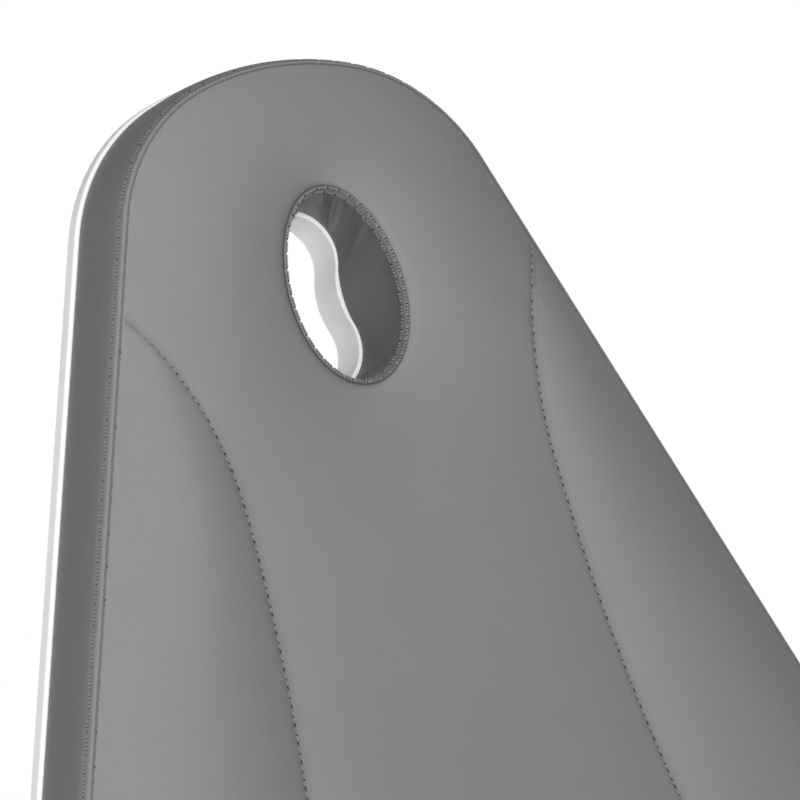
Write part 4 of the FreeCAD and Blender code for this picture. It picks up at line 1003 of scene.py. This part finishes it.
# Each row of its stitches: outward from the rim, height, and which way is up there.
RIM_STITCHES = ((0.0002, -0.0071, (-0.35, 0.94)), (-0.0018, -0.0126, (-0.97, 0.24)))
RIM_THREAD, RIM_SLANT = 0.0023, 0.12
BAND_THICKNESS, LINING_THICKNESS = 0.0012, 0.0010
LINING_TOP, LINING_BOTTOM, LINING_ROWS = -0.0140, -0.0668, 24
# The lining's creases, gathers and pocket: how many or how wide, and how deep.
CREASES, CREASE_POWER, CREASE_DEPTH = 15, 2.2, -0.0058
GATHERS, GATHER_DEPTH = 61, 0.0008
POCKET_ANGLE, POCKET_WIDTH, POCKET_DEPTH, POCKET_DIP = 1.98, 0.17, 0.0052, 0.0034
SLACK_BULGE = 0.0026


def rim_places(line, outward, height):
    flat = line.points + line.sides * outward
    return np.column_stack((flat, np.full(len(flat), height)))


def ring_mesh(name, rings):
    """A smooth band through rings of places."""
    count = len(rings[0])
    numbers = [list(range(n * count, (n + 1) * count)) for n in range(len(rings))]
    mesh = new_mesh(name, [tuple(place) for ring in rings for place in ring], strip(numbers))
    smooth(mesh)
    mesh.update()
    return mesh


def hump(angles, middle, width):
    return np.exp(-((angles - middle) / width) ** 2)


def lining_rings(rim, bottom):
    """Rings from the rim's tuck down to the collar, gathered and creased on the way."""
    angles = np.linspace(0, 2 * math.pi, len(rim), endpoint=False)
    middle = bottom.mean(0)
    crest = hump(angles, 1.25, 0.85) + 0.35 * hump(angles, 4.9, 0.6)
    rings = []
    for share in np.linspace(0, 1, LINING_ROWS):
        height = LINING_TOP + (LINING_BOTTOM - LINING_TOP) * share
        ease = share ** 1.35
        flat = rim * (1 - ease) + bottom * ease
        out = flat - middle
        out /= np.linalg.norm(out, axis=1)[:, None]
        slack = math.sin(math.pi * min(share * 1.05, 1.0))
        phase = angles * CREASES + 5.2 * share + 0.9 * np.sin(3 * angles)
        creases = (1 - abs(np.sin(phase / 2))) ** CREASE_POWER * CREASE_DEPTH * crest
        folds = (np.sin(9 * angles + 1.3 * np.sin(2 * angles)) * 0.0008
                 + np.sin(4 * angles + 2.1) * 0.0016) * slack
        gathers = np.sin(GATHERS * angles) * GATHER_DEPTH * max(0.0, 1 - share * 3.0)
        pocket = hump(angles, POCKET_ANGLE, POCKET_WIDTH) * max(0.0, 1 - share * 3.2)
        flat = flat + out * (folds + creases * slack ** 0.6 + gathers + SLACK_BULGE * slack
                             - POCKET_DEPTH * pocket)[:, None]
        dip = np.sin(5 * angles + 0.6) * 0.0006 * slack - POCKET_DIP * pocket
        rings.append(np.column_stack((flat, height + dip)))
    return rings


# Hard pieces

# The lift columns' outer stage, halved in plan, and what each stage inside it loses.
COLUMN_HALF = Vector((0.055, 0.065))
STAGE_WALL, STAGE_STEP = 0.003, 0.0035
COLLAR_SKIN, COLLAR_DEPTH, COLLAR_RISE, COLLAR_CORNER = 0.0012, 0.012, 0.0025, 0.010


def named(name):
    """Name the new primitive and apply its place, turn and size."""
    piece = bpy.context.active_object
    piece.name = name
    bpy.ops.object.transform_apply(location=True, rotation=True, scale=True)
    return piece


def block(name, low, high):
    low, high = Vector(low), Vector(high)
    bpy.ops.object.select_all(action="DESELECT")
    bpy.ops.mesh.primitive_cube_add(size=1, location=(low + high) / 2, scale=high - low)
    return named(name)


def barrel(name, height, radius, depth, sides=24):
    """A cylinder or a prism on the z axis, with its middle at a height."""
    bpy.ops.object.select_all(action="DESELECT")
    bpy.ops.mesh.primitive_cylinder_add(vertices=sides, radius=radius, depth=depth,
                                        location=(0, 0, height))
    return named(name)


def shaped(piece, kind, **settings):
    """Add one modifier, set it and apply it."""
    only(piece)
    bpy.ops.object.modifier_add(type=kind)
    modifier = piece.modifiers[-1]
    for name, value in settings.items():
        setattr(modifier, name, value)
    bpy.ops.object.modifier_apply(modifier=modifier.name)
    return piece


def eased(piece, width):
    """Round the sharp edges."""
    return shaped(piece, "BEVEL", width=width, segments=2, limit_method="ANGLE",
                  angle_limit=math.radians(30))


def bored(piece, tool):
    """Cut a tool's shape out of a piece."""
    shaped(piece, "BOOLEAN", object=tool, operation="DIFFERENCE", solver="EXACT")
    bpy.data.objects.remove(tool)
    return piece


def inset_top(piece, thickness, rise):
    """Inset the top face and raise or sink it."""
    top = max(face.center.z for face in piece.data.polygons)
    pick(piece.data, "polygons", lambda face: face.center.z > top - 1e-6 and face.normal.z > 0.9)
    with editing(piece):
        bpy.ops.mesh.inset(thickness=thickness)
        bpy.ops.transform.translate(value=(0, 0, rise))


def finished(piece, body, slot):
    """Shade a piece, give it its slot's finish and let it ride on a body."""
    only(piece)
    bpy.ops.object.shade_smooth_by_angle(angle=math.radians(35))
    piece.data.materials.clear()
    piece.data.materials.append(bpy.data.materials[slot])
    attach(piece, body)


def joined(pieces):
    """Join pieces to the first one."""
    only(*pieces)
    if len(pieces) > 1:
        bpy.ops.object.join()
    return pieces[0]


def repeated(shape, name, places, body, slot):
    """Copies of one shape, each with its +Z turned to its own way, joined as one piece."""
    twins = []
    for place, way in places:
        twin = new_piece(name, shape.data.copy())
        turn = Vector(way).to_track_quat("Z", "Y").to_matrix().to_4x4()
        twin.matrix_world = Matrix.Translation(place) @ turn
        twins.append(twin)
    bpy.data.objects.remove(shape)
    joined(twins)
    finished(named(name), body, slot)


def resting(node, start, way):
    """The place on a CAD piece that a line from a start first meets."""
    piece = frame["nodes"][node]
    there = piece.matrix_world
    back = there.inverted()
    hit, place, *rest = piece.ray_cast(back @ Vector(start), back.to_3x3() @ Vector(way))
    if not hit:
        raise RuntimeError(f"nothing of {node} lies before {tuple(start)}")
    return there @ place


def all_resting(node, starts, way):
    """Places on a CAD piece, each with the way back towards its start."""
    back = tuple(-Vector(way))
    return [(resting(node, start, way), back) for start in starts]


def screw_head(radius, depth, key):
    """A domed screw head with a hexagon socket, standing on z = 0."""
    head = barrel("screw", depth / 2, radius, depth)
    inset_top(head, radius * 0.3, depth * 0.2)
    eased(head, depth * 0.18)
    return bored(head, barrel("socket", depth * 1.25, key, depth * 1.5, sides=6))


def bolt_head(radius, depth, washer):
    """A hexagon bolt head on its washer, standing on z = 0."""
    head = barrel("bolt", washer + depth / 2, radius, depth, sides=6)
    inset_top(head, radius * 0.12, depth * 0.12)
    eased(head, radius * 0.05)
    disc = eased(barrel("washer", washer / 2, radius * 1.55, washer), washer * 0.3)
    return joined([head, disc])


def end_plug(width, height):
    """A cap for an open square tube, on z = 0, with a shallow dish."""
    plug = block("plug", (-width / 2, -height / 2, 0), (width / 2, height / 2, 0.0022))
    inset_top(plug, 0.0045, -0.0006)
    return eased(plug, 0.0007)


def arrow(way):
    """A raised triangle on z = 0 that points along y."""
    mark = barrel("arrow", 0.00005, 0.0026, 0.0007, sides=3)
    with editing(mark):
        bpy.ops.mesh.select_all(action="SELECT")
        bpy.ops.transform.rotate(value=0 if way > 0 else math.pi, orient_axis="Z",
                                 center_override=(0, 0, 0))
    return eased(mark, 0.0002)


def stage_collar(name, node, stage, body):
    """The moulded guide that caps a lift column's stage, open for the next one."""
    low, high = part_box(node)
    middle = (low + high).xy / 2
    half = COLUMN_HALF - Vector((STAGE_STEP, STAGE_STEP)) * stage
    top = high.z + COLLAR_RISE

    def sleeve(label, grow, bottom, top):
        reach = half + Vector((grow, grow))
        return block(label, (*(middle - reach), bottom), (*(middle + reach), top))

    ring = sleeve(name, COLLAR_SKIN, top - COLLAR_DEPTH, top)

    def is_corner(edge):
        first, second = (ring.data.vertices[number].co.z for number in edge.vertices)
        return abs(first - second) > COLLAR_DEPTH / 2

    pick(ring.data, "edges", is_corner)
    with editing(ring):
        bpy.ops.mesh.bevel(offset=COLLAR_CORNER, segments=6)
    bored(ring, sleeve("inner", -STAGE_WALL - 0.0001, top - 2 * COLLAR_DEPTH, top + COLLAR_DEPTH))
    finished(eased(ring, 0.0007), body, "black_plastic")


def raised(places):
    """Places and ways of the level backrest, turned up with it."""
    return [(RAISED @ Vector(place), RAISED.to_3x3() @ Vector(way)) for place, way in places]


# Operators

# Each lamp's place, what it faces, its size and its watts.
LAMPS = {
    "key": ((-1.9, -3.5, 3.1), (0, 0.3, 0.8), 2.2, 150),
    "left": ((-3.8, 0.2, 1.4), (0, 0.3, 0.8), 3.0, 30),
    "right": ((3.4, -0.6, 2.4), (0, 0.3, 0.8), 3.0, 22),
    "fill": ((2.6, 0.6, 3.6), (0, 0.2, 0.7), 3.0, 20),
    "rear": ((1.6, 3.6, 1.8), (0, 0.2, 0.6), 2.6, 26),
}
# The camera's place from the backrest's pivot, its way, and its lens in millimetres.
CAMERA_PLACE = Vector((-1.3810, -1.70644, 1.2248))
CAMERA_WAY = Vector((0.5613, 0.7703, -0.3024))
CAMERA_LENS, CAMERA_SENSOR = 143.28, 36.0
WHITE = (1, 1, 1, 1)


class SPA_OT_studio(bpy.types.Operator):
    """Set the floor, the soft lights and the camera"""
    bl_idname = "spa.studio"
    bl_label = "Studio"

    def execute(self, context):
        scene = context.scene
        bpy.ops.object.select_all(action="DESELECT")
        bpy.ops.mesh.primitive_circle_add(vertices=96, radius=6.0, fill_type="NGON",
                                          location=(0, 0, -0.0005))
        floor = context.active_object
        floor.name = "studio_floor"
        floor.data.materials.append(self.floor_finish())
        floor.visible_glossy = False
        self.white_world(scene)
        for name, (place, target, size, watts) in LAMPS.items():
            way = Vector(target) - Vector(place)
            bpy.ops.object.light_add(type="AREA", location=place, rotation=facing(way))
            lamp = context.active_object
            lamp.name = name
            lamp.data.shape = "DISK"
            lamp.data.size = size
            lamp.data.energy = watts
            lamp.visible_glossy = False
        bpy.ops.object.camera_add(location=BACK_PIVOT + CAMERA_PLACE,
                                  rotation=facing(CAMERA_WAY))
        camera = context.active_object
        camera.name = "photo_camera"
        camera.data.lens = CAMERA_LENS
        camera.data.sensor_width = CAMERA_SENSOR
        scene.camera = camera
        scene.view_settings.view_transform = "Standard"
        return {"FINISHED"}

    def floor_finish(self):
        """Pale paper that fades to white away from the bed."""
        finish = Finish("studio paper")
        reach = finish.node("ShaderNodeVectorMath", {0: finish.place()}, output="Value",
                            operation="LENGTH")
        finish.colour((0.86, 0.86, 0.86, 1))
        finish.rough(finish.ramp(finish.noise(60.0), 0.3, 0.7, 0.80, 0.90))
        seen = finish.node("ShaderNodeLightPath", output="Is Camera Ray")
        far = finish.ramp(reach, 0.9, 2.2, interpolation_type="SMOOTHSTEP")
        glow = finish.node("ShaderNodeEmission", {"Color": WHITE, "Strength": 1.0})
        paper = Signal(finish, finish.surface.outputs["BSDF"])
        finish.feed(finish.output.inputs["Surface"],
                    finish.node("ShaderNodeMixShader", {0: far * seen, 1: paper, 2: glow}))
        return finish.material

    def white_world(self, scene):
        """White for the camera, a plain level of light, and a soft bright front in gloss."""
        scene.world = bpy.data.worlds.new("studio")
        graph = Graph(scene.world, "ShaderNodeOutputWorld")
        level = 0.0
        for ray, strength in (("Diffuse", 0.28), ("Glossy", self.front(graph)),
                              ("Transmission", 1.0), ("Camera", 1.0)):
            share = graph.node("ShaderNodeLightPath", output=f"Is {ray} Ray")
            level = share.math("MULTIPLY_ADD", strength, level)
        sky = graph.node("ShaderNodeBackground", {"Color": WHITE, "Strength": level})
        graph.feed(graph.output.inputs["Surface"], sky)

    def front(self, graph):
        """The reflected brightness: high before the bed, low to its right and behind it."""
        place = graph.node("ShaderNodeTexCoord", output="Generated")
        across, along = (
            graph.ramp(graph.node("ShaderNodeSeparateXYZ", {0: place}, output=axis), low, high,
                       interpolation_type="SMOOTHSTEP")
            for axis, low, high in (("X", 1.04, 0.08), ("Y", 0.5, -0.1)))
        return (across * along).math("MULTIPLY_ADD", 2.3, 0.2)


class SPA_OT_cushions(bpy.types.Operator):
    """Sew and fill the three cushions"""
    bl_idname = "spa.cushions"
    bl_label = "Cushions"

    def execute(self, context):
        vinyl = vinyl_finish()
        thread_and_shadow_finishes = (thread_finish(), stitch_shadow_finish())
        seat_seam = straight_channel(SEAT_HIGH.y - SEAT_LOW.y)
        leg_seam = straight_channel(LEG_HIGH.y - LEG_LOW.y)
        sections = (
            (Section("back_cushion", back_outline, BACK_PLACE, back_channel(), True), "backrest"),
            (Section("seat_cushion", seat_outline, SEAT_PLACE, seat_seam), "seat_unit"),
            (Section("leg_cushion", leg_outline, LEG_PLACE, leg_seam), "leg_section"),
        )
        for section, body in sections:
            label = section.node.split("_")[0]
            surface = make_cushion(section, f"{label}_upholstery", body, vinyl)
            edge_stitches(section, f"{label}_edge_stitching", body, thread_and_shadow_finishes)
            bolster_stitches(section, surface, f"{label}_bolster_stitching", body, thread_and_shadow_finishes)
        return {"FINISHED"}


class SPA_OT_face_opening(bpy.types.Operator):
    """Bind the face opening: its rim band, two rows of stitches and the lining"""
    bl_idname = "spa.face_opening"
    bl_label = "Face opening"

    def execute(self, context):
        thread_and_shadow_finishes = (thread_finish(), stitch_shadow_finish())
        rim = SewnLine(face_curve(0.0), True, 0.0026)
        band = new_piece("face_rim_band", ring_mesh("face_rim_band", [
            rim_places(rim, outward, height) for outward, height in RIM_LINE]))
        tuck = rim_places(rim, -0.0012, 0)[:, :2]
        bottom = board_hole_at(np.arctan2(tuck[:, 1] - sizes().face_reach, tuck[:, 0]))
        lining = new_piece("face_lining", ring_mesh("face_lining", lining_rings(tuck, bottom)))
        # Painted light and shade: the rim band takes a lighter copy of the grey vinyl for the light on the rim,
        # and the lining a darker copy for the shade inside the opening.
        for piece, thickness, shade in ((band, BAND_THICKNESS, 1.05),
                                        (lining, LINING_THICKNESS, 0.82)):
            shaped(piece, "SOLIDIFY", thickness=thickness, offset=-1.0)
            piece.data.transform(BACK_PLACE)
            piece.data.materials.append(vinyl_finish(False, shade))
            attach(piece, "backrest")
        count = int(rim.length / sizes().stitch_pitch)
        near = (np.arange(count) * len(rim.points) / count).astype(int)
        for number, (outward, height, up) in enumerate(RIM_STITCHES):
            name = f"face_stitches_{number + 1}"
            row = stations(rim, near, outward, height, up)
            mesh = sewn_row(name, row, rim.length / count, RIM_THREAD, RIM_SLANT)
            sewn_piece(name, mesh, BACK_PLACE, "backrest", thread_and_shadow_finishes)
        return {"FINISHED"}


class SPA_OT_finishes(bpy.types.Operator):
    """Give every CAD piece its finish"""
    bl_idname = "spa.finishes"
    bl_label = "Finishes"

    def execute(self, context):
        chosen = colours()
        across, upright = (420.0, 30.0, 420.0), (600.0, 600.0, 12.0)
        finishes = {
            "upholstery": vinyl_finish(False),
            "painted_board": lacquer_finish(chosen.board, 260.0),
            "cabinet_panel": lacquer_finish(chosen.cabinet, 300.0),
            "column_profile": brushed_finish(chosen.anodised, upright, 0.36),
            "coated_steel": powder_coat_finish(chosen.powder_coat),
            "plinth_board": laminate_finish(chosen.plinth),
            "drawer_tray": laminate_finish(chosen.tray),
            "brushed_pull": brushed_finish(chosen.steel, across, 0.30),
            "chrome_rod": plated_finish(chosen.chrome, 0.10),
            "stroke_tube": brushed_finish(shade_of(chosen.anodised, 0.7), across, 0.34),
            "black_plastic": moulded_finish(chosen.black, 1500.0, 0.48),
            "rocker_key": moulded_finish(chosen.key, 900.0, 0.34),
            "foot_plastic": moulded_finish(chosen.black, 700.0, 0.58),
            "plated_steel": plated_finish(chosen.steel, 0.32),
        }
        for slot, finish in finishes.items():
            packed = bpy.data.materials.get(slot)
            if packed is not None:
                packed.name = f"packed {slot}"
            finish.name = slot
        for part in frame["record"]["subparts"]:
            node = frame["nodes"][part["node"]]
            node.data.materials.clear()
            node.data.materials.append(finishes[part["material_slot"]])
        return {"FINISHED"}


class SPA_OT_frame_fittings(bpy.types.Operator):
    """Plug the frames' tubes, bolt them to their boards and cap the columns"""
    bl_idname = "spa.frame_fittings"
    bl_label = "Frame fittings"

    def execute(self, context):
        # Each frame's rails: middle across, depth, open end and its way, bolts along, body.
        rails = {
            "seat": (0.230, 0.040, 0.3027, 1, (-0.100, 0.085, 0.250), "seat_unit"),
            "leg": (0.223, 0.040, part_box("leg_frame")[0].y, -1, (-0.630, -0.430, -0.250),
                    "leg_section"),
            "back": (0.150, 0.030, BACK_PIVOT.y + 0.500, 1,
                     [BACK_PIVOT.y + y for y in (0.110, 0.270, 0.440)], "backrest"),
        }
        for name, (x, depth, end, way, bolts, body) in rails.items():
            places = [((side * x, end, BOARD_UNDER - depth / 2), (0, way, 0)) for side in (1, -1)]
            places = raised(places) if name == "back" else places
            repeated(end_plug(0.030, depth), f"{name}_rail_plugs", places, body, "black_plastic")
        for name, (x, depth, end, way, bolts, body) in rails.items():
            places = [((side * x, y, BOARD_UNDER - depth), (0, 0, -1))
                      for side in (1, -1) for y in bolts]
            places = raised(places) if name == "back" else places
            repeated(bolt_head(0.0065, 0.005, 0.0016), f"{name}_board_bolts", places, body,
                     "plated_steel")
        for end in ("foot", "head"):
            stage_collar(f"outer_collar_{end}", f"column_outer_{end}", 0, "base")
            stage_collar(f"middle_collar_{end}", f"column_middle_{end}", 1, "middle_stages")
        return {"FINISHED"}


def corners(low, high, inset_x, inset_y, height):
    """Places near the four corners of a box, at one height."""
    return [(x, y, height) for x in (low.x + inset_x, high.x - inset_x)
            for y in (low.y + inset_y, high.y - inset_y)]


class SPA_OT_cabinet_fittings(bpy.types.Operator):
    """Screw on the hinges and the box, and fit shelf pins, foot nuts and inlet pins"""
    bl_idname = "spa.cabinet_fittings"
    bl_label = "Cabinet fittings"

    def execute(self, context):
        self.hinge_screws()
        low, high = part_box("control_box")
        starts = corners(low, high, 0.012, 0.012, high.z + 0.02)
        repeated(screw_head(0.0034, 0.0022, 0.0014), "control_box_screws",
                 all_resting("control_box", starts, (0, 0, -1)), "base", "plated_steel")
        low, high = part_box("cupboard_shelf")
        ends = ((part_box("end_panel_foot")[1].y, 1), (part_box("divider")[0].y, -1))
        pegs = [((x, y, low.z - 0.0025), (0, way, 0)) for y, way in ends
                for x in (low.x + 0.035, high.x - 0.035)]
        repeated(eased(barrel("peg", 0.0045, 0.0025, 0.009), 0.0006), "shelf_pins", pegs,
                 "base", "plated_steel")
        low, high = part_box("levelling_feet")
        nuts = [(place, (0, 0, -1))
                for place in corners(low, high, 0.025, 0.025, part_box("plinth")[0].z)]
        repeated(eased(barrel("nut", 0.002, 0.009, 0.004, sides=6), 0.0006), "foot_nuts", nuts,
                 "base", "plated_steel")
        self.inlet_pins()
        return {"FINISHED"}

    def hinge_screws(self):
        for number, spread in ((1, 0.014), (2, -0.014)):
            low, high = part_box(f"door_{number}_hinges")
            y = (low.y + 0.004 if number == 1 else high.y - 0.004) + spread
            starts = [(low.x - 0.02, y, z + rise) for z in (low.z, high.z - HINGE_HEIGHT)
                      for rise in (0.010, HINGE_HEIGHT - 0.010)]
            repeated(screw_head(0.0034, 0.0012, 0.0013), f"door_{number}_hinge_screws",
                     all_resting(f"door_{number}_hinges", starts, (1, 0, 0)), f"door_{number}",
                     "plated_steel")

    def inlet_pins(self):
        low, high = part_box("mains_inlet")
        x, z = (low.x + high.x) / 2, (low.z + high.z) / 2
        floor = resting("mains_inlet", (x, high.y + 0.02, z), (0, -1, 0))
        spots = [((x + aside, floor.y, z + up), (0, 1, 0))
                 for aside, up in ((-0.007, -0.0025), (0, 0.0035), (0.007, -0.0025))]
        blade = block("blade", (-0.001, -0.002, 0), (0.001, 0.002, 0.010))
        repeated(eased(blade, 0.0004), "inlet_pins", spots, "base", "plated_steel")


class SPA_OT_key_marks(bpy.types.Operator):
    """Raise an up and a down arrow on each rocker key"""
    bl_idname = "spa.key_marks"
    bl_label = "Key marks"

    def execute(self, context):
        for name in ("leg_rocker", "lift_rocker", "back_rocker"):
            low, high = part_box(name)
            y, z = (low.y + high.y) / 2, (low.z + high.z) / 2
            for way, label in ((1, "up"), (-1, "down")):
                start = (low.x - 0.02, y, z + way * 0.0048)
                repeated(arrow(way), f"{name}_{label}", all_resting(name, [start], (1, 0, 0)),
                         name, "painted_board")
        return {"FINISHED"}


class SPA_PT_sidebar(bpy.types.Panel):
    """Lists the bed's operators and sizes"""
    bl_label = "Spa bed"
    bl_idname = "SPA_PT_sidebar"
    bl_space_type = "VIEW_3D"
    bl_region_type = "UI"
    bl_category = "Spa bed"

    def draw(self, context):
        layout = self.layout
        for operator in OPERATORS:
            layout.operator(operator.bl_idname)
        for group in (context.scene.spa_upholstery, context.scene.spa_colours):
            box = layout.box()
            for name in group.bl_rna.properties.keys():
                if name not in ("rna_type", "name"):
                    box.prop(group, name)


OPERATORS = (SPA_OT_studio, SPA_OT_finishes, SPA_OT_cushions, SPA_OT_face_opening,
             SPA_OT_frame_fittings, SPA_OT_cabinet_fittings, SPA_OT_key_marks)
CLASSES = (UpholsterySizes, FinishColours, *OPERATORS, SPA_PT_sidebar)


def register():
    for item in CLASSES:
        bpy.utils.register_class(item)
    bpy.types.Scene.spa_upholstery = PointerProperty(type=UpholsterySizes)
    bpy.types.Scene.spa_colours = PointerProperty(type=FinishColours)


def unregister():
    del bpy.types.Scene.spa_colours
    del bpy.types.Scene.spa_upholstery
    for item in reversed(CLASSES):
        bpy.utils.unregister_class(item)


def main():
    register()
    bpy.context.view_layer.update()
    bpy.ops.spa.studio()
    bpy.ops.spa.finishes()
    bpy.ops.spa.cushions()
    bpy.ops.spa.face_opening()
    bpy.ops.spa.frame_fittings()
    bpy.ops.spa.cabinet_fittings()
    bpy.ops.spa.key_marks()


if __name__ == "__main__":
    main()
